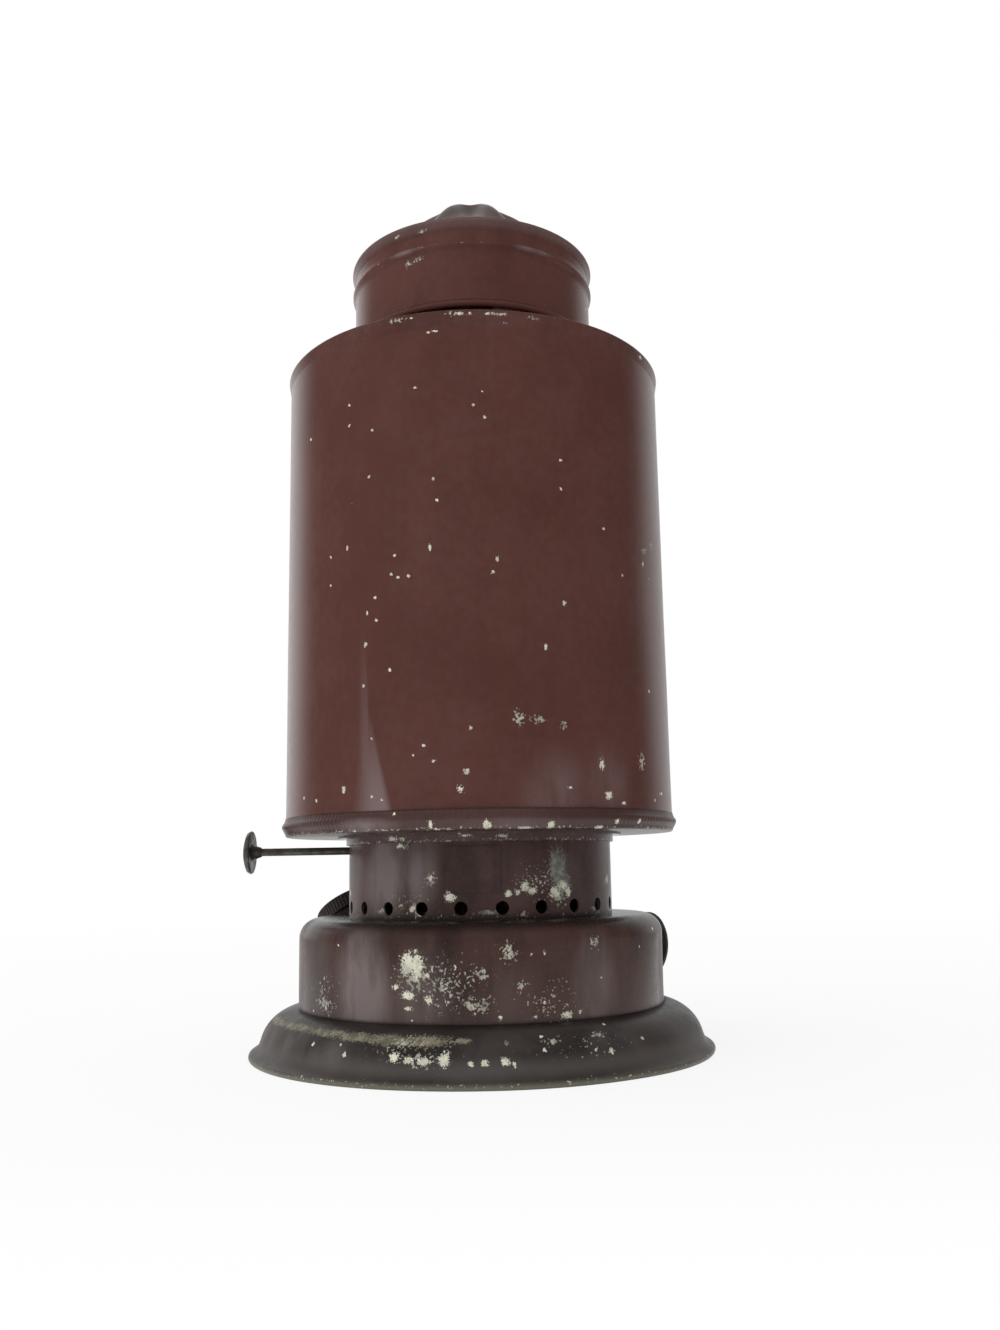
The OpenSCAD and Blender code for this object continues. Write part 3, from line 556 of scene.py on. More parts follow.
lap_turn = Matrix.Rotation(math.radians(LAP_FROM - 90), 3, "Z")
bmesh.ops.rotate(lap_mesh, verts=lap_mesh.verts[:], matrix=lap_turn)
fitted("collar_lap", lap_mesh, "base", collar_paint, (), LAP_TIN)

# Filler: a slanted neck with a leather washer and a domed screw cap, behind the font at the left.
# The cap's edge is finely milled. The strap of the finger loop is soldered on at the right.
FILLER_TONE = (0.032, 0.025, 0.022)
LEATHER_TONE = (0.085, 0.045, 0.026)
MILLING = 64
MILLING_DEEP = 0.22 * MM
CAP_EDGE = 0.8 * MM
CAP_DOME = 0.5 * MM
CAP_BEVEL_IN = 0.2 * MM
CAP_BEVEL_UP = 0.3 * MM
CAP_MILLED = 0.1 * MM
filler_paint = japan(
    "filler_japan", FILLER_TONE, COLLAR_FILM_AND_SHEEN, dusty=0.2, gloss=(0.34, 0.55), shine=0.4, wall=collar_wall,
    specks=0.06,
)
repaint(filler_paint, "filler_neck", "finger_loop")
cap_joint = next(joint for joint in frame["joints"] if joint["name"] == "cap_turn")
cap_axis = Vector(cap_joint["axis"]).normalized()
cap_foot = Vector(cap_joint["pos_m"])
cap_offsets = [vert.co - cap_foot for vert in frame["nodes"]["filler_cap"].data.vertices]
cap_heights = [offset.dot(cap_axis) for offset in cap_offsets]
cap_low = min(cap_heights)
cap_high = max(cap_heights)
cap_r = max(offset.cross(cap_axis).length for offset in cap_offsets)
cap_outline = (
    [(cap_r - 2 * MILLING_DEEP - TIN, cap_low), (cap_r - CAP_BEVEL_IN, cap_low)]
    + straight((cap_r, cap_low + CAP_BEVEL_UP), (cap_r, cap_high - CAP_DOME - CAP_EDGE), 5)
    + arc(cap_r - CAP_EDGE, cap_high - CAP_DOME - CAP_EDGE, CAP_EDGE, 0, 80, 6)[1:]
    + straight((cap_r - 2 * CAP_EDGE, cap_high - 0.75 * CAP_DOME), (0, cap_high), 8)
)
cap_mesh = spun(cap_outline, steps=4 * MILLING)
for vert in cap_mesh.verts:
    outward = Vector((vert.co.x, vert.co.y, 0))
    if outward.length > cap_r - CAP_MILLED:
        notch = 0.5 + 0.5 * math.cos(MILLING * math.atan2(vert.co.y, vert.co.x))
        vert.co -= outward.normalized() * MILLING_DEEP * notch
cap_set = Matrix.Translation(cap_foot) @ cap_axis.to_track_quat("Z", "Y").to_matrix().to_4x4()
bmesh.ops.transform(cap_mesh, matrix=cap_set, verts=cap_mesh.verts[:])
fitted("cap_milled", cap_mesh, "cap", filler_paint, ["filler_cap"])


def plain_finish(name, tones, scale, roughness, metallic, bump_scale, bump_depth):
    """Finish with two tones mottled together, and a fine grain."""
    finish = bpy.data.materials.new(name)
    finish.use_nodes = True
    tree = finish.node_tree
    surface = tree.nodes["Principled BSDF"]
    place = shader(tree, "TexCoord").outputs["Object"]
    mottle = speckle(tree, place, scale, 5, 0.6)
    grain = speckle(tree, place, bump_scale, 3)
    surface.inputs["Metallic"].default_value = metallic
    feed_named(tree, surface, {
        "Base Color": blend_colours(tree, ramp(tree, mottle, 0.35, 0.65), *tones),
        "Roughness": ramp(tree, mottle, 0.3, 0.7, *roughness),
        "Normal": bumped(tree, grain, bump_depth),
    })
    return finish


leather = plain_finish(
    "oiled_leather", (LEATHER_TONE, shaded(LEATHER_TONE, 0.45)), scale=300, roughness=(0.5, 0.7),
    metallic=0.0, bump_scale=2600, bump_depth=0.06 * MM,
)
repaint(leather, "filler_washer")

# Burner: thread ring, basket, air screen, wick tube, bracket and flame spreader of tarnished brass,
# pressed from sheet and screwed into the font's top.
BRASS_TONE = (0.30, 0.19, 0.065)
BRASS_TARNISH = (0.08, 0.05, 0.024)
brass = plain_finish(
    "tarnished_brass", (BRASS_TONE, BRASS_TARNISH), scale=140, roughness=(0.28, 0.5), metallic=0.9,
    bump_scale=900, bump_depth=0.02 * MM,
)
repaint(
    brass, "burner_ring", "burner_basket", "air_screen", "wick_tube", "spindle_bracket", "flame_dome"
)

# Wick: a flat plait of cotton yarns, pale where it is clean and charred at the top.
# The toothed wheels hold it in its tube.
COTTON = (0.62, 0.55, 0.42)
CHAR = (0.012, 0.01, 0.009)
YARN = 1.0 * MM
YARN_DEPTH = 0.16 * MM
CHAR_HEIGHT = 4.5 * MM
CHAR_WANDERS = 4 * MM
FLUFF_SCALE = 1800
FLUFF_DEEP = 0.1 * MM
# Each is an axis and how many cuts are made along it.
WICK_CUTS = ((2, 216), (0, 47), (1, 5))
wick_low, wick_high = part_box("wick")
wick_mesh = bmesh.new()
bmesh.ops.create_cube(wick_mesh, size=1)
wick_size = wick_high - wick_low
bmesh.ops.scale(wick_mesh, vec=wick_size - Vector((2, 2, 0)) * YARN_DEPTH, verts=wick_mesh.verts[:])
bmesh.ops.translate(wick_mesh, vec=(wick_low + wick_high) / 2, verts=wick_mesh.verts[:])
for axis, cuts in WICK_CUTS:
    along = [e for e in wick_mesh.edges if abs((e.verts[1].co - e.verts[0].co).normalized()[axis]) > 0.9]
    bmesh.ops.subdivide_edges(wick_mesh, edges=along, cuts=cuts, use_grid_fill=True)
wick_mesh.normal_update()
wick_pushes = []
for vert in wick_mesh.verts:
    over = math.sin(math.pi * vert.co.x / YARN) * math.sin(math.pi * vert.co.z / YARN)
    wick_pushes.append((vert, vert.normal.copy() * YARN_DEPTH * over))
for vert, push in wick_pushes:
    vert.co += Vector((push.x, push.y, 0))

wick_finish = bpy.data.materials.new("wick_yarn")
wick_finish.use_nodes = True
wick_tree = wick_finish.node_tree
wick_place = shader(wick_tree, "TexCoord").outputs["Object"]
wick_fluff = speckle(wick_tree, wick_place, FLUFF_SCALE, 4)
wick_height = shader(wick_tree, "SeparateXYZ", wick_place).outputs["Z"]
wick_burn = maths(wick_tree, "MULTIPLY_ADD", wick_fluff, CHAR_WANDERS, wick_height)
wick_char = ramp(wick_tree, wick_burn, wick_high.z - CHAR_HEIGHT, wick_high.z)
wick_clean = blend_colours(wick_tree, wick_fluff, shaded(COTTON, 0.7), COTTON)
feed_named(wick_tree, wick_tree.nodes["Principled BSDF"], {
    "Base Color": blend_colours(wick_tree, wick_char, wick_clean, CHAR),
    "Roughness": 0.95,
    "Sheen Weight": 0.3,
    "Normal": bumped(wick_tree, wick_fluff, FLUFF_DEEP),
})
fitted("wick_plait", wick_mesh, "wick", wick_finish, ["wick"])

# Wick raiser: an iron spindle with two toothed wheels and a domed thumb knob, black with age and oil.
# It runs in the bracket's ears and comes out through the collar's notch.
IRON_TONE = (0.13, 0.128, 0.115)
IRON_RUST = (0.075, 0.064, 0.052)
iron = plain_finish(
    "dark_iron", (IRON_TONE, IRON_RUST), scale=420, roughness=(0.32, 0.55), metallic=0.55, bump_scale=1500,
    bump_depth=0.03 * MM,
)
repaint(iron, "wick_spindle", "wick_wheels")
KNOB_EDGE = 0.45 * MM
KNOB_DOME = 14 * MM
KNOB_BACK = 0.9 * MM
HUB_R = 1.9 * MM
HUB_TAPER = 1.8 * MM
HUB_FILLET = 1.2 * MM
HUB_FILLET_DOWN = 0.2 * MM
HUB_TIP_OUT = 0.3 * MM
HUB_TIP_UP = 0.25 * MM
knob_low, knob_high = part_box("wick_knob")
knob_middle = (knob_low + knob_high) / 2
knob_r = (knob_high.z - knob_low.z) / 2
spindle_low, spindle_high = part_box("wick_spindle")
spindle_r = (spindle_high.z - spindle_low.z) / 2
knob_deep = knob_high.x - knob_low.x
dome_turn = math.degrees(math.asin((knob_r - KNOB_EDGE) / KNOB_DOME))
knob_outline = (
    arc(0, knob_deep - KNOB_DOME, KNOB_DOME, 90, 90 - dome_turn, 12)
    + arc(knob_r - KNOB_EDGE, HUB_TAPER + KNOB_BACK + KNOB_EDGE, KNOB_EDGE, 40, -80, 8)
    + arc(HUB_R + HUB_FILLET, HUB_TAPER - HUB_FILLET_DOWN, HUB_FILLET, 90, 170, 6)
    + [(spindle_r + HUB_TIP_OUT, HUB_TIP_UP), (spindle_r, 0)]
)
knob_mesh = spun(knob_outline, steps=72)
bmesh.ops.rotate(knob_mesh, verts=knob_mesh.verts[:], matrix=Matrix.Rotation(math.radians(-90), 3, "Y"))
bmesh.ops.translate(knob_mesh, verts=knob_mesh.verts[:], vec=(knob_high.x, knob_middle.y, knob_middle.z))
fitted("knob_turned", knob_mesh, "spindle", iron, ["wick_knob"])

# House floor: a tin disc with its edge turned up and pinched over the wall, which leaves fine pleats.
# The socket ring under it drops over the collar, and is rubbed bright by it.
PLEATS = 240
PLEAT_DEPTH = 0.17 * MM
PLEAT_DRIFT = 9 * MM
FLOOR_HOLE_IN = 4 * MM
FLOOR_BEND = 0.6 * MM
FLARE_LOW = 0.9 * MM
FLARE_HIGH = 2.2 * MM
FLARE_SHORT = 0.35 * MM
LIP_ROUND = 1.2 * MM
LIP_ROUND_IN = 1.4 * MM
LIP_ROUND_UP = 2.9 * MM
LIP_CLOSES = 0.6 * MM
LIP_GAP = 0.05 * MM
LIP_MIDDLE = 0.5 * MM
HOUSE_TONE = (0.092, 0.0315, 0.0245)
# Pale grey of dust, and of the painted reflections and highlights on the house, lip and drum.
HOUSE_FILM_AND_SHEEN = (0.23, 0.18, 0.18)
LIP_TONE = (0.066, 0.031, 0.026)
SOCKET_TONE = (0.10, 0.06, 0.055)
FLOOR_CHIPS = (
    (-33.5, 61.2, 0.9, 0.7), (-30, 61.1, 0.8, 0.6), (-11.3, 62.3, 1.0, 1.4), (-9.5, 61, 1.6, 0.7),
    (-6.5, 61, 1.5, 0.6), (3, 62, 1.3, 1.6), (12.5, 61.1, 2.6, 0.6), (19.5, 61.8, 1.4, 1.4),
    (34, 61, 2.0, 0.9), (39.7, 62.9, 1.0, 0.8), (48.6, 63, 0.9, 0.9), (95, 63, 1.5, 1.0),
    (140, 62, 2.0, 0.9), (200, 62, 2.4, 1.0), (255, 63, 1.4, 1.2),
)
SOCKET_CHIPS = (
    (-36, 59.6, 2.4, 0.9), (-31, 59.4, 1.6, 0.8), (-4, 60, 2.0, 0.5), (10, 59.8, 2.4, 0.6),
    (180, 59.5, 3, 0.8),
)
floor_low, floor_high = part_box("house_floor")
house_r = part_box("house_shell")[1].x
lip_r = floor_high.x
lip_low = floor_low.z
lip_top = floor_high.z
hole_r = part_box("socket_ring")[1].x - FLOOR_HOLE_IN
flare_foot = (house_r + 2 * LIP_GAP, lip_low + FLARE_LOW)
flare_top = (lip_r - FLARE_SHORT, lip_low + FLARE_HIGH)
floor_outline = (
    straight((hole_r, lip_low), (house_r - 2 * FLOOR_BEND, lip_low), 8)
    + arc(house_r - FLOOR_BEND, lip_low + FLOOR_BEND, FLOOR_BEND, -90, -20, 4)
    + straight(flare_foot, flare_top, 4)
    + arc(lip_r - LIP_ROUND_IN, lip_low + LIP_ROUND_UP, LIP_ROUND, -25, 55, 6)
    + [(house_r + 3 * LIP_GAP, lip_top - LIP_CLOSES), (house_r + LIP_GAP, lip_top)]
)
floor_mesh = spun(floor_outline, steps=4 * PLEATS)
for vert in floor_mesh.verts:
    outward = Vector((vert.co.x, vert.co.y, 0))
    if outward.length < house_r:
        continue
    bearing = math.atan2(vert.co.y, vert.co.x)
    depth = PLEAT_DEPTH * (0.6 + 0.6 * noise.noise(vert.co / PLEAT_DRIFT))
    vert.co -= outward.normalized() * depth * (0.5 + 0.5 * math.cos(PLEATS * bearing))


def lip_wall(height):
    return house_r + LIP_MIDDLE


floor_paint = japan(
    "floor_japan", LIP_TONE, HOUSE_FILM_AND_SHEEN, dusty=0.05, gloss=(0.3, 0.45), shine=0.35, wall=lip_wall,
    # The two hazes are painted highlight bands along the lip.
    specks=0.08, chips=FLOOR_CHIPS, hazes_and_sheens=[(-30, 62.5, 13, 3, 0.8), (10, 62, 20, 3, 0.25)],
    # The band is painted shade where the lip closes over the wall.
    rubbed=[(lip_low / MM + 0.4, 0.9, 0.5)], bands=[(lip_top / MM, 0.5, 0.7, CREVICE_SHADE)],
)
fitted("floor_pinched", floor_mesh, "lamp_house", floor_paint, ["house_floor"], 0.5 * TIN)
socket_paint = japan(
    "socket_japan", SOCKET_TONE, HOUSE_FILM_AND_SHEEN, dusty=0.2, gloss=(0.2, 0.36), shine=0.5, wall=collar_wall,
    specks=0.1, chips=SOCKET_CHIPS, rubbed=[(58.8, 1.2, 0.55)],
)
repaint(socket_paint, "socket_ring")

# House wall: one sheet of tin bent to a tube and cut open for the window.
# Knocks have left shallow dents low on its back, and scuffs and small chips.
WALL_ROWS = 56
WALL_WAVES = (0.2 * MM, 32 * MM)
WALL_DENTS = (
    # bearing, height, half width, half height, depth
    (-3, 60, 15, 20, 0.8),
    (30, 76, 14, 18, 0.5),
    (62, 130, 12, 24, 0.3),
    (150, 78, 14, 20, 0.5),
    (-120, 150, 16, 26, 0.5),
)
HOUSE_CHIPS = (
    (-37.5, 72.2, 0.8, 1.5), (-2, 75.6, 1.2, 1.0), (-3.7, 71.1, 1.3, 1.3), (36, 77.7, 1.2, 2.1),
    (38, 69.7, 1.7, 1.4), (43.6, 67.7, 1.2, 0.5), (25.5, 71.5, 0.9, 0.6), (-13.2, 82.5, 0.7, 0.7),
    (-10.6, 78.4, 0.7, 0.7), (-0.7, 86.5, 0.7, 0.7), (-11, 134.4, 0.5, 1.3), (6.7, 130.7, 0.5, 0.9),
    (5.5, 127.2, 0.6, 0.6), (19.4, 107.7, 0.6, 1.3), (25, 119.8, 0.7, 0.8), (-27, 122.4, 0.6, 0.6),
    (-29.5, 118.4, 0.5, 0.8), (-26.6, 116.2, 0.6, 0.6), (-30, 110, 0.7, 0.9), (-22.4, 102.5, 0.6, 0.6),
    (-30.7, 99, 0.6, 0.6), (-36.5, 137.3, 0.5, 1.0), (0.8, 69.5, 0.5, 1.0), (4, 169.6, 0.5, 0.6),
    (57.6, 135.4, 0.8, 1.0), (-11, 194.4, 0.7, 0.4), (-9.3, 194.5, 0.9, 0.4), (110, 90, 1.6, 1.2),
    (245, 110, 1.2, 1.8), (262, 76, 1.4, 1.4),
)
HOUSE_FLECK = 0.55
HOUSE_FLECKS = (
    (-15, 179), (-36, 178), (-36, 172), (-28, 169), (-54, 173), (1, 173), (25, 159), (-29, 156), (-10, 153),
    (-9, 147), (25, 151), (39, 142), (-21, 133), (-22, 128), (-20, 127), (-17, 127), (-43, 136), (-43, 128),
    (46, 130), (62, 132), (-16, 80), (-28, 85), (-28, 70), (-25, 69), (-56, 71), (-49, 70), (59, 69),
    (63, 71), (58, 99),
)
HOUSE_SCUFFS = (
    (11.7, 89.2, 2.6, 4.6), (16.5, 88.6, 4.6, 2.1), (24.2, 87.4, 2.2, 3), (59, 139.5, 3, 2),
    (64, 142, 2.6, 2.4), (52, 79, 3, 4), (100, 150, 4, 8), (240, 84, 6, 3),
)
# Pale patches low on the back, right of the middle, are painted reflections. A strength follows each place.
HOUSE_SHEENS = (
    (22, 70, 16, 16, 0.3), (38, 73, 12, 17, 0.28),
)
# Two wedges low on the back at the left, soft on the left and sharp on the right, are painted highlights.
HOUSE_SHEEN_STREAKS = (((124, -31, 2.5), (58, -31, 5), 0.4), ((99, -29.6, 0.8), (61, -33.8, 14.5), 0.66))
shell_low, shell_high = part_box("house_shell")
frame_low, frame_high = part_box("window_frame")
wall_outline = straight((house_r, shell_low.z), (house_r, shell_high.z), WALL_ROWS)
wall_mesh = spun(wall_outline)


def dent(mesh, dents, wall_r):
    """Pushes shallow dents into a round wall, each softly rounded off."""
    for vert in mesh.verts:
        bearing = math.degrees(math.atan2(vert.co.x, -vert.co.y))
        outward = Vector((vert.co.x, vert.co.y, 0)).normalized()
        for middle, height, half_width, half_height, depth in dents:
            turned = (bearing - middle + 180) % 360 - 180
            aside = math.radians(turned) * wall_r / (half_width * MM)
            above = (vert.co.z - height * MM) / (half_height * MM)
            vert.co -= outward * depth * MM * math.exp(-aside * aside - above * above)


def cut_window(mesh, low, high):
    """Cuts a box-shaped opening through the far side of a wall."""
    planes = [((low.x, 0, 0), (1, 0, 0)), ((high.x, 0, 0), (1, 0, 0))]
    planes += [((0, 0, low.z), (0, 0, 1)), ((0, 0, high.z), (0, 0, 1))]
    for point, normal in planes:
        far = [f for f in mesh.faces if f.calc_center_median().y > 0]
        parts = far + list({e for f in far for e in f.edges}) + list({v for f in far for v in f.verts})
        bmesh.ops.bisect_plane(mesh, geom=parts, plane_co=point, plane_no=normal, dist=WELD)
    inside = []
    for face in mesh.faces:
        middle = face.calc_center_median()
        if middle.y > 0 and low.x < middle.x < high.x and low.z < middle.z < high.z:
            inside.append(face)
    bmesh.ops.delete(mesh, geom=inside, context="FACES")


def house_wall(height):
    return house_r


cut_window(wall_mesh, frame_low, frame_high)
dent(wall_mesh, WALL_DENTS, house_r)
uneven(wall_mesh, *WALL_WAVES)
house_flecks = tuple((bearing, height, HOUSE_FLECK, HOUSE_FLECK) for bearing, height in HOUSE_FLECKS)
house_paint = japan(
    "house_japan", HOUSE_TONE, HOUSE_FILM_AND_SHEEN, dusty=0.05, gloss=(0.2, 0.36), shine=0.5, wall=house_wall,
    specks=0.02, chips=HOUSE_CHIPS + house_flecks, scuffs=HOUSE_SCUFFS, hazes_and_sheens=HOUSE_SHEENS,
    sheen_streaks=HOUSE_SHEEN_STREAKS, mottled=0.06,
)
fitted("wall_bent", wall_mesh, "lamp_house", house_paint, ["house_shell"], TIN)

# Window: a folded tin box soldered into the wall, with runners for the glass on its face.
# The glass is flashed ruby, drawn up by its top edge.
RUBY = (0.42, 0.006, 0.008)
SMEAR_SCALE = 60
RIPPLE_SCALE = 45
RIPPLE_DEEP = 0.25 * MM
repaint(house_paint, "window_frame")
ruby = bpy.data.materials.new("ruby_glass")
ruby.use_nodes = True
ruby_tree = ruby.node_tree
ruby_place = shader(ruby_tree, "TexCoord").outputs["Object"]
ruby_smear = speckle(ruby_tree, ruby_place, SMEAR_SCALE, 4)
ruby_surface = ruby_tree.nodes["Principled BSDF"]
ruby_surface.inputs["Transmission Weight"].default_value = 0.8
ruby_surface.inputs["IOR"].default_value = 1.5
feed_named(ruby_tree, ruby_surface, {
    "Base Color": blend_colours(ruby_tree, ruby_smear, shaded(RUBY, 0.8), RUBY),
    "Roughness": ramp(ruby_tree, ruby_smear, 0.3, 0.75, 0.02, 0.12),
    "Normal": bumped(ruby_tree, speckle(ruby_tree, ruby_place, RIPPLE_SCALE, 2), RIPPLE_DEEP),
})
repaint(ruby, "ruby_glass")

# Shoulder: a shallow tin cone with its edge turned down over the wall, and the flue through its middle.
# Three stays of strip tin stand on it to carry the ventilator drum.
SHOULDER_EDGE = 0.7 * MM
LIP_TUCK = 0.1 * MM
PLATE_BEND_IN = 1.5 * MM
PLATE_BEND_UP = 0.15 * MM
SHOULDER_WAVES = (0.2 * MM, 26 * MM)
SHOULDER_CHIPS = (
    (-15.7, 198.8, 0.6, 0.4), (-2.2, 198.8, 1.2, 0.5), (0.5, 198.8, 0.6, 0.5), (5.3, 198.8, 0.9, 0.5),
    (9, 198.7, 0.6, 0.4), (10, 196.5, 1.0, 0.3), (60, 198.4, 1.2, 0.6), (130, 198, 2.0, 0.6),
    (220, 197, 2.0, 0.9),
)
SHOULDER_SCUFFS = (
    (-20, 198.8, 6, 1.0), (-3, 198.9, 6, 1.2), (8, 198.8, 4, 1.0), (18, 198.4, 4, 1.0),
    (150, 198.5, 12, 1.2),
)
shoulder_low, shoulder_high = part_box("house_shoulder")
flue_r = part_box("flue_neck")[1].x
shoulder_r = shoulder_high.x
plate_edge_z = shell_high.z + TIN
shoulder_outline = (
    straight((house_r - LIP_TUCK, shoulder_low.z), (shoulder_r, plate_edge_z - SHOULDER_EDGE), 8)
    + arc(shoulder_r - SHOULDER_EDGE, plate_edge_z - SHOULDER_EDGE, SHOULDER_EDGE, 0, 84, 6)[1:]
    + straight((house_r - PLATE_BEND_IN, plate_edge_z + PLATE_BEND_UP), (flue_r, shoulder_high.z), 10)
)
shoulder_mesh = spun(shoulder_outline)
uneven(shoulder_mesh, *SHOULDER_WAVES)


def shoulder_wall(height):
    return shoulder_r


shoulder_paint = japan(
    "shoulder_japan", shaded(HOUSE_TONE, 0.95), HOUSE_FILM_AND_SHEEN, dusty=0.08, gloss=(0.24, 0.4), shine=0.5,
    wall=shoulder_wall, specks=0.08, chips=SHOULDER_CHIPS, scuffs=SHOULDER_SCUFFS,
    rubbed=[(plate_edge_z / MM, 0.8, 0.35)],
)
fitted("shoulder_turned", shoulder_mesh, "lamp_house", shoulder_paint, ["house_shoulder"], 0.5 * TIN)
repaint(shoulder_paint, "flue_neck", "drum_stays")

# Ventilator drum: a tin band with its lower edge curled outwards and a bead swaged round it,
# held on the stays so that the hot air escapes round its foot.
DRUM_R = 37.25 * MM
DRUM_WAVES = (0.2 * MM, 22 * MM)
CURL = 0.95 * MM
CURL_LEAVES = 1.6 * CURL
BEAD_HEIGHT = 19.6 * MM
BEAD_OUT = 0.9 * MM
BEAD_WIDE = 1.2 * MM
DRUM_SCUFFS = (
    (-29, 227.1, 2.6, 2.0), (-25, 227.6, 2.4, 1.4), (-22, 228, 1.2, 1.2), (100, 222, 4, 3),
    (230, 225, 5, 3),
)
drum_low, drum_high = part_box("vent_drum")
curl_r = DRUM_R - TIN + CURL
curl_z = drum_low.z + CURL
bead_z = drum_low.z + BEAD_HEIGHT


def drum_wall(height):
    """Radius of the drum's wall at a height, with its swaged bead."""
    away = (height - bead_z) / BEAD_WIDE
    return DRUM_R + BEAD_OUT * math.exp(-away * away)


drum_heights = [z for r, z in straight((0, curl_z + CURL_LEAVES), (0, drum_high.z), 48)]
drum_outline = arc(curl_r, curl_z, CURL, 190, 430, 18) + [(drum_wall(z), z) for z in drum_heights]
drum_mesh = spun(drum_outline)
uneven(drum_mesh, *DRUM_WAVES)
drum_paint = japan(
    "drum_japan", HOUSE_TONE, HOUSE_FILM_AND_SHEEN, dusty=0.04, gloss=(0.22, 0.4), shine=0.5, wall=drum_wall,
    specks=0.02, scuffs=DRUM_SCUFFS,
    # The two hazes on the bead are painted highlights.
    hazes_and_sheens=[(-30, bead_z / MM, 8, 1.3, 0.6), (30, bead_z / MM, 9, 1.3, 0.6)],
    # The band is painted shade in the crease above the curl.
    rubbed=[(bead_z / MM, 0.5, 0.3)], bands=[(drum_low.z / MM + 2.1, 0.6, 0.7, CREVICE_SHADE)],
)
fitted("drum_swaged", drum_mesh, "lamp_house", drum_paint, ["vent_drum"], 0.5 * TIN)

# Lid: a shallow tin cone with its rim rolled over the drum, open in the middle.
# Its paint is smoked a little darker than the house.
LID_ROLL = 1.05 * MM
LID_RIM = 3.4 * MM
LID_SLOPE = math.radians(27)
LID_BEND_IN = 0.8 * MM
LID_BEND_UP = 0.5 * MM
LID_WAVES = (0.2 * MM, 20 * MM)
CROWN_FOOT = 3.0 * MM
LID_SCUFFS = (
    (-35, 236.8, 2.2, 1.2), (-22, 236, 3, 0.8), (80, 237, 4, 1.5), (190, 237, 5, 1.5),
)
lid_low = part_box("vent_lid")[0]
lid_edge_z = lid_low.z + LID_RIM
crown_low, crown_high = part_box("vent_crown")
crown_r = crown_high.x
lid_hole_r = crown_r - CROWN_FOOT
cone_z = lid_edge_z + TIN
lid_r = DRUM_R + TIN
cone_rise = (lid_r - lid_hole_r) * math.tan(LID_SLOPE)
lid_outline = (
    straight((DRUM_R - LIP_TUCK, lid_low.z), (lid_r, lid_edge_z - LID_ROLL), 8)
    + arc(DRUM_R, lid_edge_z, LID_ROLL, -40, 75, 10)
    + straight((DRUM_R - LID_BEND_IN, cone_z + LID_BEND_UP), (lid_hole_r, cone_z + cone_rise), 14)
)
lid_mesh = spun(lid_outline)
uneven(lid_mesh, *LID_WAVES)
lid_paint = japan(
    "lid_japan", shaded(HOUSE_TONE, 0.9), HOUSE_FILM_AND_SHEEN, dusty=0.07, gloss=(0.24, 0.42), shine=0.5,
    wall=drum_wall, specks=0.03, scuffs=LID_SCUFFS, bands=[(lid_edge_z / MM, 3.2, 0.3, HOUSE_FILM_AND_SHEEN)],
)
fitted("lid_spun", lid_mesh, "lamp_house", lid_paint, ["vent_lid"], 0.5 * TIN)

# Crown: a cap of thin tin pressed into flutes, soldered over the hole in the lid.
# Smoke has greyed its paint.
FLUTES = 8
FLUTE_DEEP = 2.0 * MM
FLUTE_FADE = math.radians(165)
CROWN_SLOPE = math.radians(44)
CROWN_TOP_R = 11.3 * MM
CROWN_TONE = (0.105, 0.08, 0.07)
crown_sheet = TIN / math.cos(CROWN_SLOPE)
crown_foot_z = crown_low.z + crown_sheet
flute_low_z = crown_foot_z + CROWN_FOOT * math.tan(LID_SLOPE)
crown_top_z = flute_low_z + (lid_hole_r - CROWN_TOP_R) * math.tan(CROWN_SLOPE)
crown_outline = (
    straight((crown_r, crown_foot_z), (lid_hole_r, flute_low_z), 3)
    + straight((lid_hole_r, flute_low_z), (CROWN_TOP_R, crown_top_z), 20)[1:]
    + straight((CROWN_TOP_R, crown_top_z), (0, crown_top_z), 6)[1:]
)
crown_mesh = spun(crown_outline, steps=32 * FLUTES)
for vert in crown_mesh.verts:
    outward = Vector((vert.co.x, vert.co.y, 0))
    up = min(max((lid_hole_r - outward.length) / (lid_hole_r - CROWN_TOP_R), 0.0), 1.0)
    fade = min(outward.length / CROWN_TOP_R, 1.0) * math.sin(FLUTE_FADE * up)
    wave = -0.5 * FLUTE_DEEP * fade * math.cos(FLUTES * math.atan2(vert.co.y, vert.co.x))
    vert.co += outward.normalized() * wave + Vector((0, 0, wave))
crown_paint = japan(
    "crown_japan", CROWN_TONE, COLLAR_FILM_AND_SHEEN, dusty=0.25, gloss=(0.3, 0.5), shine=0.5, wall=drum_wall,
    specks=0.1,
)
fitted("crown_pressed", crown_mesh, "lamp_house", crown_paint, ["vent_crown"], TIN)

# Studio: a floor of pale paper, a white surround and a soft light at the left. Beside the view the paper
# mirrors darker, as if screened. The camera stands low behind the lantern and is tipped up a little.
WHITE = (1.0, 1.0, 1.0, 1.0)
FLOOR_SIZE = 8.0
FLOOR_NEAR = 0.215
GLOW_NEAR = 0.82
GLOW_FADE = (0.15, 1.1)
SIDE_SPREAD = 0.44
SIDE_SOFT = 0.06
SIDE_SHADE = 0.3
FLOOR_TONE = (0.9, 0.9, 0.89)
FOCAL_PIXELS = 1173.5
LONG_SIDE_PIXELS = 1330
SENSOR = 36.0
CAMERA_CLIP = 0.01
LAMP_SIZE = 0.8
LAMP_WATTS = 2.0
LAMP_PLACE = Vector((-0.9, -0.7, 0.75))
LAMP_AIM = Vector((0, 0, 0.12))
SKY_SIDE = (-0.5, 0.5, 1.0, 0.72)
SKY_FRONT = (0.3, 0.75, 0.1, 1.0)
SKY_AROUND = (-1.0, 1.0, 1.3, 0.62)
CAMERA_PLACE = Vector((6.9, -353.1, 51.7)) * MM
CAMERA_PITCH = math.radians(9.75)
CAMERA_ROLL = math.radians(1.0)

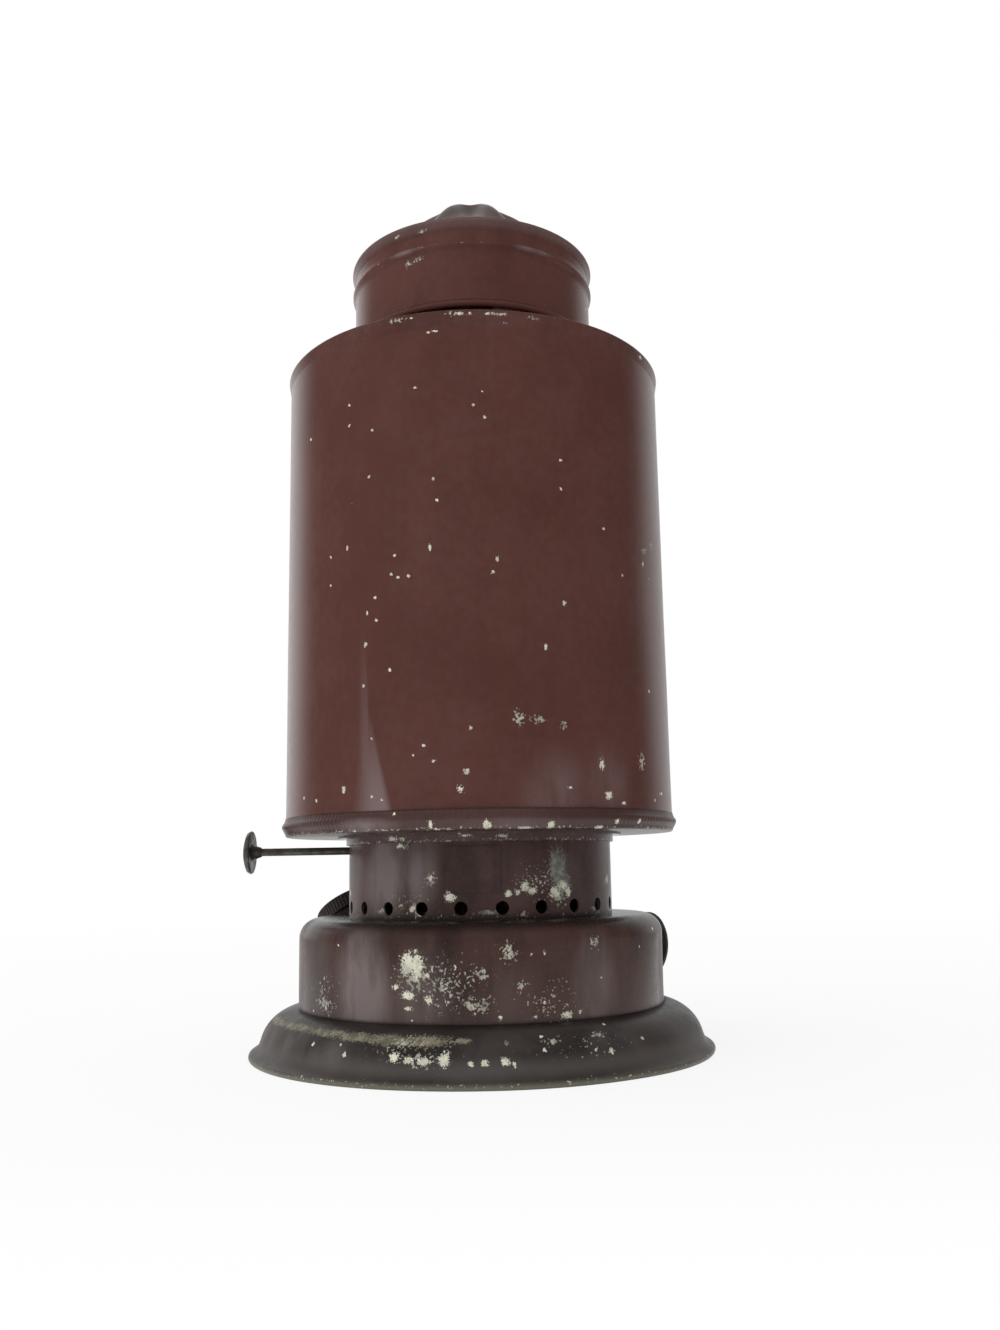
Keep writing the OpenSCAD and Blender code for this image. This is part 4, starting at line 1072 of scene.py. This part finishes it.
floor_plan = bmesh.new()
bmesh.ops.create_grid(floor_plan, x_segments=1, y_segments=1, size=FLOOR_SIZE)
bmesh.ops.translate(floor_plan, verts=floor_plan.verts[:], vec=(0, FLOOR_SIZE - FLOOR_NEAR, 0))
floor_data = bpy.data.meshes.new("studio_floor")
floor_plan.to_mesh(floor_data)
floor_plan.free()
studio_floor = bpy.data.objects.new("studio_floor", floor_data)
bpy.context.scene.collection.objects.link(studio_floor)
paper = bpy.data.materials.new("pale_paper")
paper.use_nodes = True
paper_tree = paper.node_tree
paper_out = paper_tree.nodes["Material Output"]
paper_tree.nodes.remove(paper_tree.nodes["Principled BSDF"])
paper_place = shader(paper_tree, "TexCoord").outputs["Object"]
paper_away = shader(paper_tree, "VectorMath", paper_place, operation="LENGTH").outputs["Value"]
matt = shader(paper_tree, "BsdfDiffuse", (*FLOOR_TONE, 1)).outputs[0]
rays = shader(paper_tree, "LightPath").outputs
paper_x, paper_y = shader(paper_tree, "SeparateXYZ", paper_place).outputs[:2]
view_half = maths(paper_tree, "MULTIPLY", maths(paper_tree, "SUBTRACT", paper_y, CAMERA_PLACE.y), SIDE_SPREAD)
beside = maths(paper_tree, "SUBTRACT", maths(paper_tree, "ABSOLUTE", paper_x), view_half)
side_shade = ramp(paper_tree, beside, 0.0, SIDE_SOFT, 1.0, SIDE_SHADE)
side_glow = shader(paper_tree, "Mix", rays["Is Glossy Ray"], None, 1.0, side_shade).outputs[0]
glow = shader(paper_tree, "Emission", WHITE, side_glow).outputs[0]
seen = most(paper_tree, rays["Is Camera Ray"], rays["Is Glossy Ray"], rays["Is Transmission Ray"])
paper_far = ramp(paper_tree, paper_away, *GLOW_FADE, GLOW_NEAR, 1.0)
paper_edge = ramp(paper_tree, paper_y, -FLOOR_NEAR, -0.5 * FLOOR_NEAR, 1.0, GLOW_NEAR)
part_glow = maths(paper_tree, "MULTIPLY", seen, most(paper_tree, paper_far, paper_edge))
paper_mix = shader(paper_tree, "MixShader", part_glow, matt, glow)
paper_tree.links.new(paper_mix.outputs[0], paper_out.inputs["Surface"])
floor_data.materials.append(paper)

world = bpy.data.worlds.new("studio")
bpy.context.scene.world = world
world.use_nodes = True
sky = world.node_tree
sky.nodes.clear()
sky_rays = shader(sky, "LightPath").outputs
sky_seen = maths(sky, "MAXIMUM", sky_rays["Is Camera Ray"], sky_rays["Is Transmission Ray"])
direction = shader(sky, "TexCoord").outputs["Generated"]
toward = shader(sky, "SeparateXYZ", direction).outputs
brightness = ramp(sky, toward["X"], *SKY_SIDE)
mirrored = maths(sky, "MULTIPLY", ramp(sky, toward["Y"], *SKY_FRONT), brightness)
around = ramp(sky, toward["X"], *SKY_AROUND)
lit = shader(sky, "Mix", sky_rays["Is Glossy Ray"], None, around, mirrored).outputs[0]
strength = shader(sky, "Mix", sky_seen, None, lit, 1.0).outputs[0]
background = shader(sky, "Background", WHITE, strength)
sky_out = shader(sky, "OutputWorld")
sky.links.new(background.outputs[0], sky_out.inputs["Surface"])

left_lamp = bpy.data.lights.new("left_soft_box", "AREA")
left_lamp.size = LAMP_SIZE
left_lamp.energy = LAMP_WATTS
left_soft_box = bpy.data.objects.new("left_soft_box", left_lamp)
left_soft_box.location = LAMP_PLACE
left_soft_box.rotation_euler = (LAMP_AIM - LAMP_PLACE).to_track_quat("-Z", "Y").to_euler()
left_soft_box.visible_glossy = False
bpy.context.scene.collection.objects.link(left_soft_box)

camera_data = bpy.data.cameras.new("camera")
camera_data.sensor_width = SENSOR
camera_data.lens = SENSOR * FOCAL_PIXELS / LONG_SIDE_PIXELS
camera_data.clip_start = CAMERA_CLIP
camera = bpy.data.objects.new("camera", camera_data)
level = Matrix.Rotation(math.radians(90) + CAMERA_PITCH, 4, "X")
rolled = Matrix.Rotation(-CAMERA_ROLL, 4, "Z")
camera.matrix_world = Matrix.Translation(CAMERA_PLACE) @ level @ rolled
bpy.context.scene.collection.objects.link(camera)
bpy.context.scene.camera = camera
bpy.context.scene.view_settings.view_transform = "Standard"
